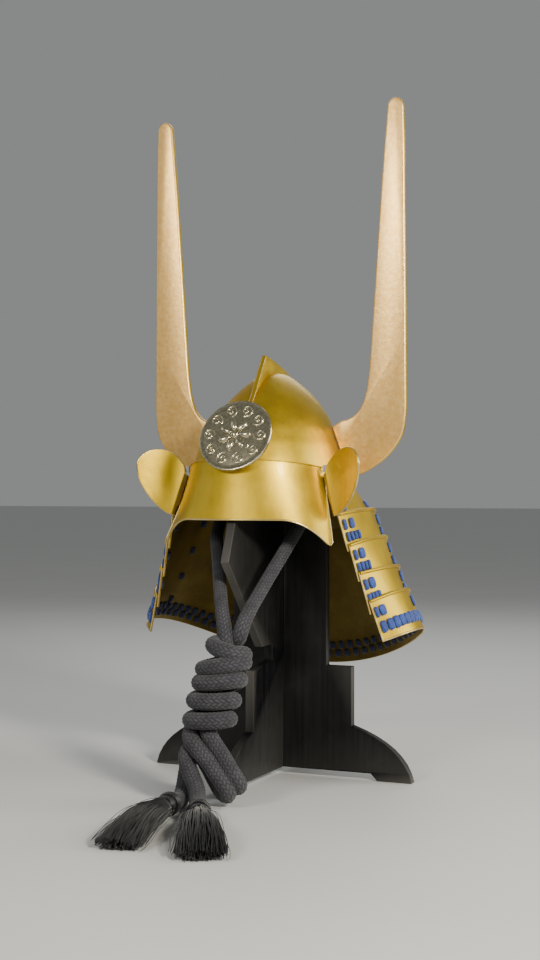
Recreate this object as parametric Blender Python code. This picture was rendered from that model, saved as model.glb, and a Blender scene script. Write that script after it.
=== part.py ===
"""Samurai helmet (kabuto) with a peach-shaped bowl, side horns, a five-plate neck guard and a long
chin cord, on its stand of two crossed boards.  Metres, +Z up.  The origin is on the stand's
upright axis at the plane of its feet; the helmet faces -Y."""

import math

import bmesh
import bpy
from mathutils import Vector

MM = 0.001
GAP = 0.3 * MM

# ---------------------------------------------------------------- driving dimensions (mm)
SHEET = 2.0            # wall of the bowl, brow plate and neck guard
BOARD = 12.0           # stand boards
HORN_THICK = 9.0
CORD_D = 20.0
KEEL_THICK = 6.5
MEDAL_D = 103.0
MEDAL_THICK = 4.0
MEDAL_LEAN = 25.0      # degrees from upright
MEDAL_CENTRE = (0, -154, 473)
STEM_RADIUS = 6.0
STEM_END = -7.2        # how far behind the badge's face its stem meets the bowl
EDGE = 0.8             # small bevel on boards and horns

# The bowl, level by level: height, half width, half length, centre Y
BOWL_LEVELS = [
    (405, 103.5, 119, -42),
    (428, 102.7, 118, -42),
    (457, 95.5, 112.5, -38),
    (473, 89.5, 107.5, -36),
    (490, 82.5, 100, -33),
    (507, 73, 86.5, -28),
    (532, 52.3, 68, -23),
    (552, 30, 44, -22.5),
    (561, 16, 25, -22),
    (565, 0, 0, -21.5),
]

KEEL_LIFT = 0.9        # clearance between the keel's foot and the bowl
HORN_SEAT = 0.8        # clearance between a horn's seat and the bowl
CROWN_DROP = 1.3       # clearance between the stand boards and the bowl's inside

# The brow plate: its top edge follows the bowl, its lower edge is an arc about another centre
BROW_TOP_RADII = (105.8, 121.2)
BROW_TOP_CENTRE_Y = -42.0
BROW_TOP_TURN = 70.0   # degrees to each side of the front
BROW_TOP_Z = 441.0
BROW_TOP_DROP = 11.0
BROW_FOOT_RADIUS = 162.0
BROW_FOOT_CENTRE_Y = -11.0
BROW_FOOT_TURN = 49.5
BROW_FOOT_Z = 361.5
BROW_SIDE_DROP = 39.0  # its sides hang this much below the middle
BROW_DROP_START = 24.0 # degrees from the front at which the drop starts
BROW_CORNER = 9.0
BROW_FLARE = 1.25

# Each neck-guard edge: half width, centre Y, rear half length, front corner (X, Y),
# and its height at the front corner, the side and the rear
LAMES = [
    ((107, -30, 115, (103, -92), (421, 413, 413)), (132, 0, 113, (118.5, -98), (366, 365, 342))),
    ((133, 0, 115, (123, -96), (368, 374, 354)), (149, 0, 126, (134, -86.5), (319, 327, 292))),
    ((149.6, 0, 127.7, (136, -88), (327, 336.6, 304.6)), (167, 0, 138.6, (146.5, -79), (279, 286, 237.8))),
    ((167.4, 0, 141.3, (147.5, -81), (290, 296.5, 251.6)), (183, 0, 151, (160, -71), (235, 250, 190))),
    ((181.7, 0, 152.2, (159.5, -74), (252.5, 264.5, 209.4)), (205, 0, 170, (175, -64), (199.4, 212, 140))),
]
LIP_OUT = 3.5          # the turned-out top edge of lames 2 to 5
LIP_UP = 1.2

# The outline of the ear, from the fold's top over the round top to the fold's foot (X, Z)
EAR_TOP = [(105, 421), (106.5, 433), (117, 447), (128, 454.5), (140, 457), (152, 454), (160, 446), (163, 436)]
EAR_FOOT = [(120, 367), (124.5, 367.5), (131, 371), (140, 379), (149.5, 391), (157, 405), (161.5, 419), (163, 436)]

# Horn outline on its board (X, Z): the inner edge from the bowl up, then the outer edge down
HORN_INNER = [(98, 496), (108, 498.5), (120, 506), (131, 524), (138, 560), (144, 640), (150.5, 735),
              (158, 840), (165, 922)]
HORN_OUTER = [(187.5, 922), (189, 860), (190.3, 700), (191, 563), (191, 512), (187, 480), (177, 461),
              (162, 444), (145, 432), (127, 422.5), (113, 419), (104, 419)]
HORN_Y = -14.0

# The crest of the bowl's keel on the centre plane (Y, Z), front to back
KEEL_CREST = [(-141, 478), (-124, 497), (-101, 524), (-80, 556), (-60, 584.5), (-36, 584.5), (-9, 578.5),
              (24, 564.5), (50, 538), (68, 500), (77.5, 455), (80, 428)]

# Stand (mm)
FOOT_OUT = 196.0
FOOT_IN = 146.0
ARCH_IN = 136.0
ARCH_Z = 10.0
BLOCK_HALF = 108.5
BLOCK_LOW = 74.0
BLOCK_TOP = 156.0
POST_HALF = 71.4
SHOULDER_Z = 390.0     # the hidden stretch of the chin cord lies on these shoulders
NECK_HALF = 54.0
LAP_Z = 170.0          # the boards are halved together here

# Chin cord centre lines (mm), each through a few route points
CORD_LEFT = [(-66, -9.4, 400.6), (-66, -24, 400), (-65.5, -46, 380), (-63, -68, 356), (-58, -90, 335),
             (-40, -122, 305), (-18, -162, 267), (0, -192, 236), (10.4, -205, 212)]
CORD_RIGHT = [(66, -9.4, 400.6), (66, -24, 400), (64, -44, 381), (55.5, -77.5, 344), (41.7, -135.4, 287),
              (31, -186, 236), (29.4, -209, 215)]
CORD_INSIDE = [(-66, -7, 400.6), (-66, 12, 400.6), (-60, 36, 399), (-36, 53, 399), (0, 56, 400.6),
               (36, 53, 399), (60, 36, 399), (66, 12, 400.6), (66, -7, 400.6)]
TAIL_LEFT = [(-31, -220, 74), (-33, -224, 52), (-31, -238, 30), (-25.5, -257, 14.5), (-20.4, -277.3, 10.6),
             (-18.1, -292.2, 14.5), (-16.3, -303.8, 15.6)]
TAIL_RIGHT = [(-23, -245, 73), (-12, -252, 51), (0, -268, 27), (11, -287, 13), (20.7, -304.2, 10.8),
              (27.6, -317.6, 14.5), (33, -328, 15.6)]
# The knot's outer form: centre and the two half widths of each section, top to bottom
KNOT = [((19, -212, 201), 22, 19), ((17, -215, 192), 31, 27), ((13, -219, 174), 36, 31), ((6, -225, 142), 37, 32),
        ((0, -229, 112), 36, 31), ((0, -231, 99), 30, 27), ((11, -234, 88), 21, 20), ((24, -240, 62), 20, 20),
        ((36, -246, 38), 19, 19), ((41, -248, 27), 13, 13)]
TASSEL_LENGTH = 190.0
COLLAR_LENGTH = 33.0
# Where each tassel's collar starts, and which way it points on the floor
TASSELS = {"left": ((-16, -306, 15.6), (0.15, -0.989)), "right": ((34, -330, 15.6), (0.46, -0.888))}


# ---------------------------------------------------------------- helpers
def clear_scene():
    for item in list(bpy.data.objects):
        bpy.data.objects.remove(item, do_unlink=True)


def material(name, colour, roughness, metallic=0.0):
    made = bpy.data.materials.new(name)
    made.use_nodes = True
    shader = made.node_tree.nodes["Principled BSDF"]
    shader.inputs["Base Color"].default_value = (*colour, 1.0)
    shader.inputs["Roughness"].default_value = roughness
    shader.inputs["Metallic"].default_value = metallic
    return made


def add_object(name, mesh_or_bmesh, finish):
    """Puts a mesh in the scene as one named object with its material."""
    mesh = mesh_or_bmesh
    if isinstance(mesh_or_bmesh, bmesh.types.BMesh):
        mesh = bpy.data.meshes.new(name)
        mesh_or_bmesh.to_mesh(mesh)
        mesh_or_bmesh.free()
    mesh.materials.append(finish)
    thing = bpy.data.objects.new(name, mesh)
    bpy.context.scene.collection.objects.link(thing)
    return thing


def smooth(points, count):
    """Reads count points at even steps from a Catmull-Rom curve through the route points."""
    ends = [[2 * a - b for a, b in zip(points[0], points[1])],
            [2 * a - b for a, b in zip(points[-1], points[-2])]]
    knots = [ends[0], *points, ends[1]]
    spans = len(points) - 1
    out = []
    for i in range(count):
        place = i * spans / (count - 1)
        k = min(int(place), spans - 1)
        t = place - k
        p0, p1, p2, p3 = knots[k:k + 4]
        out.append(tuple(
            0.5 * (2 * b + (c - a) * t + (2 * a - 5 * b + 4 * c - d) * t * t
                   + (3 * b - a - 3 * c + d) * t ** 3)
            for a, b, c, d in zip(p0, p1, p2, p3)))
    return out


def grid_faces(bm, rows, wrap=False):
    """Joins rows of points into a quad sheet; the rows run top to bottom."""
    verts = [[bm.verts.new(Vector(p) * MM) for p in row] for row in rows]
    across = len(verts[0])
    for upper, lower in zip(verts, verts[1:]):
        for i in range(across if wrap else across - 1):
            j = (i + 1) % across
            bm.faces.new((upper[i], lower[i], lower[j], upper[j]))
    return verts


def sheet_object(name, bm, finish, wall=SHEET):
    """Turns an open sheet whose faces look outwards into a plate of the given wall."""
    thing = add_object(name, bm, finish)
    plate = thing.modifiers.new("wall", "SOLIDIFY")
    plate.thickness = wall * MM
    plate.offset = -1.0
    plate.use_even_offset = True
    plate.use_rim = True
    return thing


def prism(name, outline, low, high, finish, plane="XZ", bevel=EDGE):
    """A board cut to an outline: plane XZ has its thickness along Y, and YZ along X."""
    bm = bmesh.new()
    at = (lambda u, w, t: (u, t, w)) if plane == "XZ" else (lambda u, w, t: (t, u, w))
    face = bm.faces.new([bm.verts.new(Vector(at(u, w, low)) * MM) for u, w in outline])
    grown = bmesh.ops.extrude_face_region(bm, geom=[face])
    push = Vector(at(0, 0, high - low)) * MM
    bmesh.ops.translate(bm, verts=[v for v in grown["geom"] if isinstance(v, bmesh.types.BMVert)], vec=push)
    bm.normal_update()
    bmesh.ops.recalc_face_normals(bm, faces=bm.faces[:])
    thing = add_object(name, bm, finish)
    if bevel:
        edge = thing.modifiers.new("edge", "BEVEL")
        edge.width = bevel * MM
        edge.segments = 1
        edge.limit_method = "ANGLE"
        edge.angle_limit = math.radians(50)
    return thing


def tube(name, route, finish, diameter=CORD_D, step=1.0):
    """A cord: a poly curve with filled caps, its points read from a smooth curve."""
    rough_length = sum(math.dist(a, b) for a, b in zip(route, route[1:]))
    count = max(6, round(rough_length / (step * diameter)) + 1)
    curve = bpy.data.curves.new(name, "CURVE")
    curve.dimensions = "3D"
    curve.bevel_depth = diameter / 2 * MM
    curve.bevel_resolution = 3
    curve.use_fill_caps = True
    spline = curve.splines.new("POLY")
    points = smooth(route, count)
    spline.points.add(count - 1)
    for knot, point in zip(spline.points, points):
        knot.co = (*(Vector(point) * MM), 1.0)
    return add_object(name, curve, finish)


def skin(name, sections, finish, sides=14):
    """Closed solid through oval sections: centre, half width, half depth, and the axis there."""
    bm = bmesh.new()
    rings = []
    for centre, wide, deep, axis in sections:
        axis = Vector(axis).normalized()
        across = axis.cross(Vector((0, 1, 0)) if abs(axis.y) < 0.8 else Vector((0, 0, 1))).normalized()
        up = axis.cross(across)
        rings.append([bm.verts.new((Vector(centre) + across * wide * math.cos(a) + up * deep * math.sin(a)) * MM)
                      for a in (2 * math.pi * k / sides for k in range(sides))])
    for one, two in zip(rings, rings[1:]):
        for i in range(sides):
            j = (i + 1) % sides
            bm.faces.new((one[i], two[i], two[j], one[j]))
    bm.faces.new(rings[0])
    bm.faces.new(rings[-1][::-1])
    bm.normal_update()
    bmesh.ops.recalc_face_normals(bm, faces=bm.faces[:])
    return add_object(name, bm, finish)


# ---------------------------------------------------------------- the bowl
def bowl_level(height, inset=0.0):
    """Half width, half length and centre of the bowl at a height, drawn in by inset."""
    fine = smooth(BOWL_LEVELS, 181)
    for low, high in zip(fine, fine[1:]):
        if low[0] <= height <= high[0]:
            t = (height - low[0]) / (high[0] - low[0])
            wide, long, centre = (a + (b - a) * t for a, b in zip(low[1:], high[1:]))
            return max(wide - inset, 0.01), max(long - inset, 0.01), centre
    return 0.01, 0.01, BOWL_LEVELS[-1][3]


def bowl_height(x, y, inset):
    """The height at which the bowl, drawn in by inset, passes over the plan point (x, y)."""
    low, high = BOWL_LEVELS[0][0], BOWL_LEVELS[-1][0]
    for _ in range(30):
        middle = (low + high) / 2
        wide, long, centre = bowl_level(middle, inset)
        if (x / wide) ** 2 + ((y - centre) / long) ** 2 < 1:
            low = middle
        else:
            high = middle
    return low


def build_bowl(finish, around=44, levels=15):
    bm = bmesh.new()
    sections = smooth(BOWL_LEVELS, levels)[::-1]
    rows = []
    for height, wide, long, centre in sections[1:]:
        turn = [2 * math.pi * i / around for i in range(around)]
        rows.append([(wide * math.sin(a), centre + long * math.cos(a), height) for a in turn])
    verts = grid_faces(bm, rows, wrap=True)
    apex = bm.verts.new(Vector((0, BOWL_LEVELS[-1][3], BOWL_LEVELS[-1][0])) * MM)
    for i in range(around):
        bm.faces.new((apex, verts[0][i], verts[0][(i + 1) % around]))
    bm.normal_update()
    bmesh.ops.recalc_face_normals(bm, faces=bm.faces[:])
    return sheet_object("bowl", bm, finish)


def build_keel(finish):
    """The standing ridge over the joint of the bowl's two halves, its foot following the bowl."""
    crest = smooth(KEEL_CREST, 27)
    foot = []
    for front in (True, False):
        heights = [478, 492, 507, 522, 537, 550, 559] if front else [561, 550, 537, 520, 500, 480, 455, 430]
        for height in heights:
            _, long, centre = bowl_level(height)
            foot.append((centre + (-long if front else long), height))
    centre = (-22, 470)
    raised = []
    for y, z in foot:
        away = math.dist((y, z), centre)
        raised.append((y + (y - centre[0]) / away * KEEL_LIFT, z + (z - centre[1]) / away * KEEL_LIFT))
    middle = [(centre[0], BOWL_LEVELS[-1][0] + KEEL_LIFT)]
    under = raised[:7] + middle + raised[7:]
    outline = [p for p in crest if p[1] > 431] + under[::-1]
    return prism("bowl_keel", outline, -KEEL_THICK / 2, KEEL_THICK / 2, finish, plane="YZ", bevel=0)


# ---------------------------------------------------------------- brow plate and medallion
def visor_edge(s):
    """A point of the brow plate's lower edge: s runs from -1 to 1 across the front."""
    turn = math.radians(BROW_FOOT_TURN) * s
    t = max(0.0, (abs(s) * BROW_FOOT_TURN - BROW_DROP_START) / (BROW_FOOT_TURN - BROW_DROP_START))
    q = max(0.0, (t - 0.86) / 0.14)
    drop = BROW_SIDE_DROP * t * t - BROW_CORNER * (1 - math.sqrt(max(0.0, 1 - q * q)))
    return (BROW_FOOT_RADIUS * math.sin(turn), BROW_FOOT_CENTRE_Y - BROW_FOOT_RADIUS * math.cos(turn),
            BROW_FOOT_Z - drop)


def build_visor(finish, across=36, down=5):
    bm = bmesh.new()
    top = []
    for i in range(across + 1):
        s = -1 + 2 * i / across
        turn = math.radians(BROW_TOP_TURN) * s
        wide, long = BROW_TOP_RADII
        top.append((wide * math.sin(turn), BROW_TOP_CENTRE_Y - long * math.cos(turn),
                    BROW_TOP_Z - BROW_TOP_DROP * s * s))
    foot = [visor_edge(-1 + 2 * i / across) for i in range(across + 1)]
    rows = []
    for k in range(down + 1):
        v = k / down
        flare = v ** BROW_FLARE
        rows.append([(a[0] + (b[0] - a[0]) * flare, a[1] + (b[1] - a[1]) * flare, a[2] + (b[2] - a[2]) * v)
                     for a, b in zip(top, foot)])
    grid_faces(bm, rows)
    return sheet_object("visor", bm, finish)


def build_medallion(finish):
    """The front badge: a disc with a raised rim and boss, on a short stem that meets the bowl."""
    profile = [(0, 2.2), (14, 2.2), (15, 0.9), (44, 0.9), (45.5, 2.2), (50, 2.2), (MEDAL_D / 2, 1.2),
               (MEDAL_D / 2, -MEDAL_THICK), (STEM_RADIUS, -MEDAL_THICK), (STEM_RADIUS, STEM_END), (0, STEM_END)]
    sides = 48
    bm = bmesh.new()
    lean = math.radians(MEDAL_LEAN)
    normal = Vector((0, -math.cos(lean), math.sin(lean)))
    across, up = Vector((1, 0, 0)), Vector((0, math.sin(lean), math.cos(lean)))
    centre = Vector(MEDAL_CENTRE)
    rings = []
    for radius, lift in profile:
        if radius == 0:
            rings.append([bm.verts.new((centre + normal * lift) * MM)])
        else:
            turn = [2 * math.pi * k / sides for k in range(sides)]
            rings.append([bm.verts.new((centre + normal * lift + (across * math.cos(a) + up * math.sin(a)) * radius)
                                       * MM) for a in turn])
    for one, two in zip(rings, rings[1:]):
        for i in range(sides):
            j = (i + 1) % sides
            ends = [one[i % len(one)], two[i % len(two)], two[j % len(two)], one[j % len(one)]]
            bm.faces.new(list(dict.fromkeys(ends)))
    bm.normal_update()
    bmesh.ops.recalc_face_normals(bm, faces=bm.faces[:])
    return add_object("medallion", bm, finish)


# ---------------------------------------------------------------- neck guard with its ears
def edge_point(edge, u):
    """A point on a neck-guard edge: u is -1 at the left front corner, 0 at the rear, 1 at the right."""
    wide, centre, rear, (corner_x, corner_y), (z_front, z_side, z_rear) = edge
    last = math.pi - math.asin(corner_x / wide)
    front = (corner_y - centre) / math.cos(last)
    turn = abs(u) * last
    long = rear if turn < math.pi / 2 else front
    x = wide * math.sin(turn)
    y = centre + long * math.cos(turn)
    if turn < math.pi / 2:
        z = z_side + (z_rear - z_side) * math.cos(turn) ** 2
    else:
        z = z_side + (z_front - z_side) * ((turn - math.pi / 2) / (last - math.pi / 2)) ** 2
    return math.copysign(x, u), y, z


def ear_point(x, z):
    """The ear's sheet: it sweeps outwards and then curls forwards; its foot leans forwards."""
    q = (x - 105) / 57
    return x, -94 - 4 * q - 26 * q * q - 7 * (421 - z) / 54 * max(0.0, 1 - q), z


def lame_rows(top, foot, across, down):
    rows = []
    steps = [-1 + 2 * i / across for i in range(across + 1)]
    for k in range(down + 1):
        v = k / down
        rows.append([tuple(a + (b - a) * v for a, b in zip(edge_point(top, u), edge_point(foot, u))) for u in steps])
    return rows


def build_lame(number, finish, across=40):
    top, foot = LAMES[number - 1]
    bm = bmesh.new()
    rows = lame_rows(top, foot, across, 2)
    if number == 1:
        rows = with_ears(lame_rows(top, foot, across, 4))
    else:
        lip = []
        for x, y, z in rows[0]:
            out = Vector((x, y, 0)).normalized() * LIP_OUT
            lip.append((x + out.x, y + out.y, z + LIP_UP))
        rows.insert(0, lip)
    grid_faces(bm, [row[::-1] for row in rows])
    return sheet_object(f"lame_{number}" if number > 1 else "lame_1_with_ears", bm, finish)


def with_ears(rows):
    """Carries the top lame's rows on past its front corners into the turned-back ears."""
    columns = 9
    tops = smooth(EAR_TOP, columns)[1:]
    feet = smooth(EAR_FOOT, columns)[1:]
    down = len(rows) - 1
    out = []
    for k, row in enumerate(rows):
        v = k / down
        right = []
        for t, f in zip(tops, feet):
            share = 0.5 + (v - 0.5) * 0.98
            right.append(ear_point(*(a + (b - a) * share for a, b in zip(t, f))))
        left = [(-x, y, z) for x, y, z in right[::-1]]
        out.append(left + row + right)
    return out


# ---------------------------------------------------------------- horns and small steel pieces
def build_horn(side, finish):
    sign = -1 if side == "left" else 1
    inner = smooth(HORN_INNER, 21)
    outer = smooth(HORN_OUTER, 27)
    tip = []
    low, high = inner[-1], outer[0]
    for k in range(1, 6):
        a = math.pi * k / 6
        middle = ((low[0] + high[0]) / 2, (low[1] + high[1]) / 2)
        reach = (high[0] - low[0]) / 2
        tip.append((middle[0] - reach * math.cos(a), middle[1] + reach * 1.1 * math.sin(a)))
    seat = []
    for z in (419, 428, 442, 457, 473, 486):
        wide, long, centre = bowl_level(z)
        seat.append((wide * math.sqrt(1 - ((HORN_Y - HORN_THICK / 2 - centre) / long) ** 2) + HORN_SEAT, z))
    outline = [(sign * x, z) for x, z in seat + inner + tip + outer[:-1]]
    return prism(f"horn_{side}", outline, HORN_Y - HORN_THICK / 2, HORN_Y + HORN_THICK / 2, finish, bevel=2.5)


def build_horn_bracket(side, finish):
    """A steel plate behind the horn's root; it ties the horn to the bowl's side."""
    sign = -1 if side == "left" else 1
    low = HORN_Y + HORN_THICK / 2 + GAP / MM
    outline = [(104.5, 428), (126, 434), (124, 462), (99, 458)]
    return prism(f"horn_bracket_{side}", [(sign * x, z) for x, z in outline], low, low + 3, finish, bevel=0)


def build_ear_clip(side, finish):
    """The small steel tab at the top of the ear's fold."""
    sign = -1 if side == "left" else 1
    outline = [(99.5, 424.5), (110, 424.5), (110, 433.5), (99.5, 433.5)]
    return prism(f"ear_clip_{side}", [(sign * x, z) for x, z in outline], -91.6, -89.6, finish, bevel=0)


# ---------------------------------------------------------------- stand
def foot_outline():
    """Right half of both boards' base, from the arch over the foot's round end up to the block."""
    points = [(ARCH_IN, ARCH_Z), (FOOT_IN, 0), (FOOT_OUT - 1, 0)]
    start, pull, end = (FOOT_OUT, 2), (185, 50), (BLOCK_HALF, BLOCK_LOW)
    for k in range(9):
        t = k / 8
        points.append(tuple((1 - t) ** 2 * a + 2 * t * (1 - t) * b + t * t * c for a, b, c in zip(start, pull, end)))
    return points + [(BLOCK_HALF, BLOCK_TOP)]


def crown_line(start, end, along_y, count):
    """The top edge of a board, cut to sit just under the bowl between two plan positions."""
    out = []
    for k in range(count):
        u = start + (end - start) * k / (count - 1)
        inset = SHEET + CROWN_DROP
        side = BOARD / 2
        across = [(side, u)] if along_y else [(u, side), (u, -side)]
        out.append((u, min(bowl_height(x, y, inset) for x, y in across) - inset))
    return out


def build_board_across(finish):
    half = BOARD / 2 + GAP / MM
    right = foot_outline() + [(POST_HALF, BLOCK_TOP), (POST_HALF, SHOULDER_Z), (NECK_HALF, SHOULDER_Z)]
    right += crown_line(NECK_HALF, half, False, 8)
    right += [(half, LAP_Z)]
    left = [(-x, z) for x, z in right[::-1]]
    return prism("stand_board_across", right + left, -BOARD / 2, BOARD / 2, finish)


def build_board_along(finish):
    """The lengthwise board; its front runs forwards into a chin under the brow plate."""
    half = BOARD / 2 + GAP / MM
    rear = foot_outline() + [(64, BLOCK_TOP), (64, SHOULDER_Z), (40, SHOULDER_Z)]
    crown = crown_line(40, -132, True, 17)
    crown = [(y, z) for y, z in crown if z > BOWL_LEVELS[0][0] + 15]
    chin = [(-150, 398), (-169, 351), (-187, 306), (-78, 186), (-45, 186), (-45, 165), (-94, BLOCK_TOP)]
    front = [(-y, z) for y, z in foot_outline()[::-1]]
    lap = [(-half, ARCH_Z), (-half, LAP_Z + GAP / MM), (half, LAP_Z + GAP / MM), (half, ARCH_Z)]
    return prism("stand_board_along", rear + crown + chin + front + lap, -BOARD / 2, BOARD / 2, finish, plane="YZ")


# ---------------------------------------------------------------- cord and tassels
def build_knot(finish):
    sections = []
    for k, (centre, wide, deep) in enumerate(KNOT):
        before, after = KNOT[max(k - 1, 0)][0], KNOT[min(k + 1, len(KNOT) - 1)][0]
        sections.append((centre, wide, deep, [b - a for a, b in zip(before, after)]))
    return skin("cord_knot", sections, finish, sides=16)


def build_tassel(side, finish):
    """A collar of wound thread and a skirt of loose strands, lying on the surface."""
    start, heading = TASSELS[side]
    heading = Vector((*heading, 0)).normalized()
    start = Vector(start)
    collar = []
    for along, radius in ((GAP / MM, 13.5), (4, 15.3), (17, 15.3), (29, 14.6), (COLLAR_LENGTH, 13)):
        collar.append((start + heading * along, radius, radius, heading))
    skin(f"tassel_collar_{side}", collar, finish)
    skirt = []
    for along, wide, deep in ((COLLAR_LENGTH + GAP / MM, 13, 13), (50, 19, 15), (75, 24, 16.5), (110, 28, 17),
                              (150, 30, 16.5), (182, 30.5, 14.5), (TASSEL_LENGTH, 25, 11)):
        middle = start + heading * along
        middle.z = max(deep + 0.4, start.z - (along - COLLAR_LENGTH) * 0.02 if along < 60 else deep + 0.4)
        skirt.append((middle, wide, deep, heading))
    return skin(f"tassel_{side}", skirt, finish)


def main():
    clear_scene()
    gold = material("gold_paint", (0.50, 0.33, 0.09), 0.38, 0.9)
    pale_gold = material("horn_gold", (0.60, 0.42, 0.24), 0.4, 0.8)
    pewter = material("pewter", (0.45, 0.42, 0.34), 0.28, 1.0)
    steel = material("steel", (0.62, 0.62, 0.64), 0.35, 1.0)
    black_wood = material("black_wood", (0.012, 0.012, 0.014), 0.45)
    cord = material("charcoal_cord", (0.03, 0.03, 0.034), 0.8)
    silk = material("black_silk", (0.015, 0.015, 0.018), 0.45)

    build_bowl(gold)
    build_keel(gold)
    build_visor(gold)
    build_medallion(pewter)
    for number in range(1, 6):
        build_lame(number, gold)
    for side in ("left", "right"):
        build_horn(side, pale_gold)
        build_horn_bracket(side, steel)
        build_ear_clip(side, steel)
        build_tassel(side, silk)
    build_board_across(black_wood)
    build_board_along(black_wood)
    tube("cord_left", CORD_LEFT, cord)
    tube("cord_right", CORD_RIGHT, cord)
    tube("cord_inside", CORD_INSIDE, cord)
    tube("cord_tail_left", TAIL_LEFT, cord, step=0.9)
    tube("cord_tail_right", TAIL_RIGHT, cord, step=0.9)
    build_knot(cord)


main()
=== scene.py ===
# %% [markdown]
# # A kabuto on its stand
# This lesson builds a samurai helmet on two crossed boards: a tall painted bowl, two plank-like horns,
# a round badge, a neck guard of five laced plates and a long braided chin cord with tassels.
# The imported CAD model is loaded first. It fixes every size and place, in metres, with the front
# towards -Y. Most pieces are then made finer than their CAD solids, in the same place.

# %% Load the fixed frame
import math

import bmesh
import bpy
import numpy as np
from mathutils import Euler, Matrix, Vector


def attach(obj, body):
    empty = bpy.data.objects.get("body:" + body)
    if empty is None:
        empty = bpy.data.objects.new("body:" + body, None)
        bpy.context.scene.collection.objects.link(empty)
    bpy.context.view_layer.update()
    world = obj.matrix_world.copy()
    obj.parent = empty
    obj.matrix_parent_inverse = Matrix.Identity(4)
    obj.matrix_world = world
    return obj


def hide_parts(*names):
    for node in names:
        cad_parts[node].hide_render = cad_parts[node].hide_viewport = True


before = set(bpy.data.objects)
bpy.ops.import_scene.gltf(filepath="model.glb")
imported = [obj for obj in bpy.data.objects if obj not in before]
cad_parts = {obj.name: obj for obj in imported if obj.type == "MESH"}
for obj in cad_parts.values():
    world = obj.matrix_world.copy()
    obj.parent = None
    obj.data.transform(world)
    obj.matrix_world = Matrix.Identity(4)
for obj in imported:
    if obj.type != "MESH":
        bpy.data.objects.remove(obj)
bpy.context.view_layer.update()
MM = 0.001

# %% [markdown]
# ## Small tools
# A Catmull-Rom curve passes through every point it is given, so a form can be set down as a short
# table of measured points. Colours are picked as sRGB hex, the way a paint chart gives them, but
# shaders count in linear light, so one function converts them.


# %% Curves, colours and nodes
def smooth(points, count):
    """Reads count points at even steps from a Catmull-Rom curve through the given points."""
    knots = np.array(points, float)
    knots = np.vstack([2 * knots[0] - knots[1], knots, 2 * knots[-1] - knots[-2]])
    spans = len(points) - 1
    place = np.linspace(0, spans, count)
    k = np.minimum(place.astype(int), spans - 1)
    t = (place - k)[:, None]
    p0, p1, p2, p3 = knots[k], knots[k + 1], knots[k + 2], knots[k + 3]
    return 0.5 * (2 * p1 + (p2 - p0) * t + (2 * p0 - 5 * p1 + 4 * p2 - p3) * t ** 2
                  + (3 * p1 - p0 - 3 * p2 + p3) * t ** 3)


def even(points, step):
    """Spaces a route's points evenly, about one step apart."""
    points = np.array(points, float)
    along = np.concatenate([[0], np.cumsum(np.linalg.norm(np.diff(points, axis=0), axis=1))])
    places = np.linspace(0, along[-1], max(2, round(along[-1] / step) + 1))
    return np.stack([np.interp(places, along, points[:, i]) for i in range(3)], axis=1), along[-1]


def eased(path, rounds):
    """Rounds off tight bends, as a stiff braid would, and leaves both ends where they are."""
    for _ in range(rounds):
        path[1:-1] += 0.5 * ((path[:-2] + path[2:]) / 2 - path[1:-1])
    return path


def colour(code):
    """Turns an sRGB hex colour into linear RGBA."""
    parts = [int(code[i:i + 2], 16) / 255 for i in (1, 3, 5)]
    return (*(c / 12.92 if c <= 0.04045 else ((c + 0.055) / 1.055) ** 2.4 for c in parts), 1.0)


def add(tree, kind, links=None, **settings):
    """Adds one node, sets its options, and fills its inputs with values or with other nodes."""
    made = tree.nodes.new(kind)
    for key, value in settings.items():
        setattr(made, key, value)
    for key, value in (links or {}).items():
        if isinstance(value, bpy.types.Node):
            value = value.outputs[0]
        if isinstance(value, bpy.types.NodeSocket):
            tree.links.new(value, made.inputs[key])
        else:
            made.inputs[key].default_value = value
    return made


def new_material(name, **sockets):
    """Starts a material: its tree and its Principled shader with the constants set on it."""
    made = bpy.data.materials.new(name)
    made.use_nodes = True
    shader = made.node_tree.nodes["Principled BSDF"]
    for key, value in sockets.items():
        shader.inputs[key.replace("_", " ")].default_value = value
    return made, made.node_tree, shader


def laid(tree, under, over, pattern, start=0.0, full=1.0, first=0.0, last=1.0):
    """Lays one colour over another by a pattern.

    Its share goes from first, where the pattern's value is start, to last, where it is full.
    """
    share = add(tree, "ShaderNodeMapRange", {0: pattern, 1: start, 2: full, 3: first, 4: last})
    under, over = [colour(c) if isinstance(c, str) else c for c in (under, over)]
    return add(tree, "ShaderNodeMix", {0: share, 6: under, 7: over}, data_type="RGBA").outputs[2]


def dress(tree, shader, base, *bumps, rough=None):
    """Links a finish's colour, its bumps as (height, strength, metres), and rough as (pattern, low, high)."""
    tree.links.new(base, shader.inputs["Base Color"])
    below = {}
    for height, strength, depth in bumps:
        values = {"Height": height, "Strength": strength, "Distance": depth, **below}
        bump = add(tree, "ShaderNodeBump", values)
        below = {"Normal": bump}
    if bumps:
        tree.links.new(bump.outputs[0], shader.inputs["Normal"])
    if rough:
        # most of a noise pattern lies between 0.3 and 0.7
        uneven = add(tree, "ShaderNodeMapRange", {0: rough[0], 1: 0.3, 2: 0.7, 3: rough[1], 4: rough[2]})
        tree.links.new(uneven.outputs[0], shader.inputs["Roughness"])


def finish_tree(tree, given, result, shape):
    """Ends a Geometry Nodes tree: the shape is put in its place, made real and given its finish."""
    if "Place" in given.outputs:
        shape = add(tree, "GeometryNodeTransform", {"Geometry": shape, "Translation": given.outputs["Place"],
                                                    "Rotation": given.outputs["Turn"]})
    real = add(tree, "GeometryNodeRealizeInstances", {"Geometry": shape})
    painted = add(tree, "GeometryNodeSetMaterial", {"Geometry": real, "Material": given.outputs["Finish"]})
    tree.links.new(painted.outputs[0], result.inputs[0])


print("tools ready")


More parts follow.
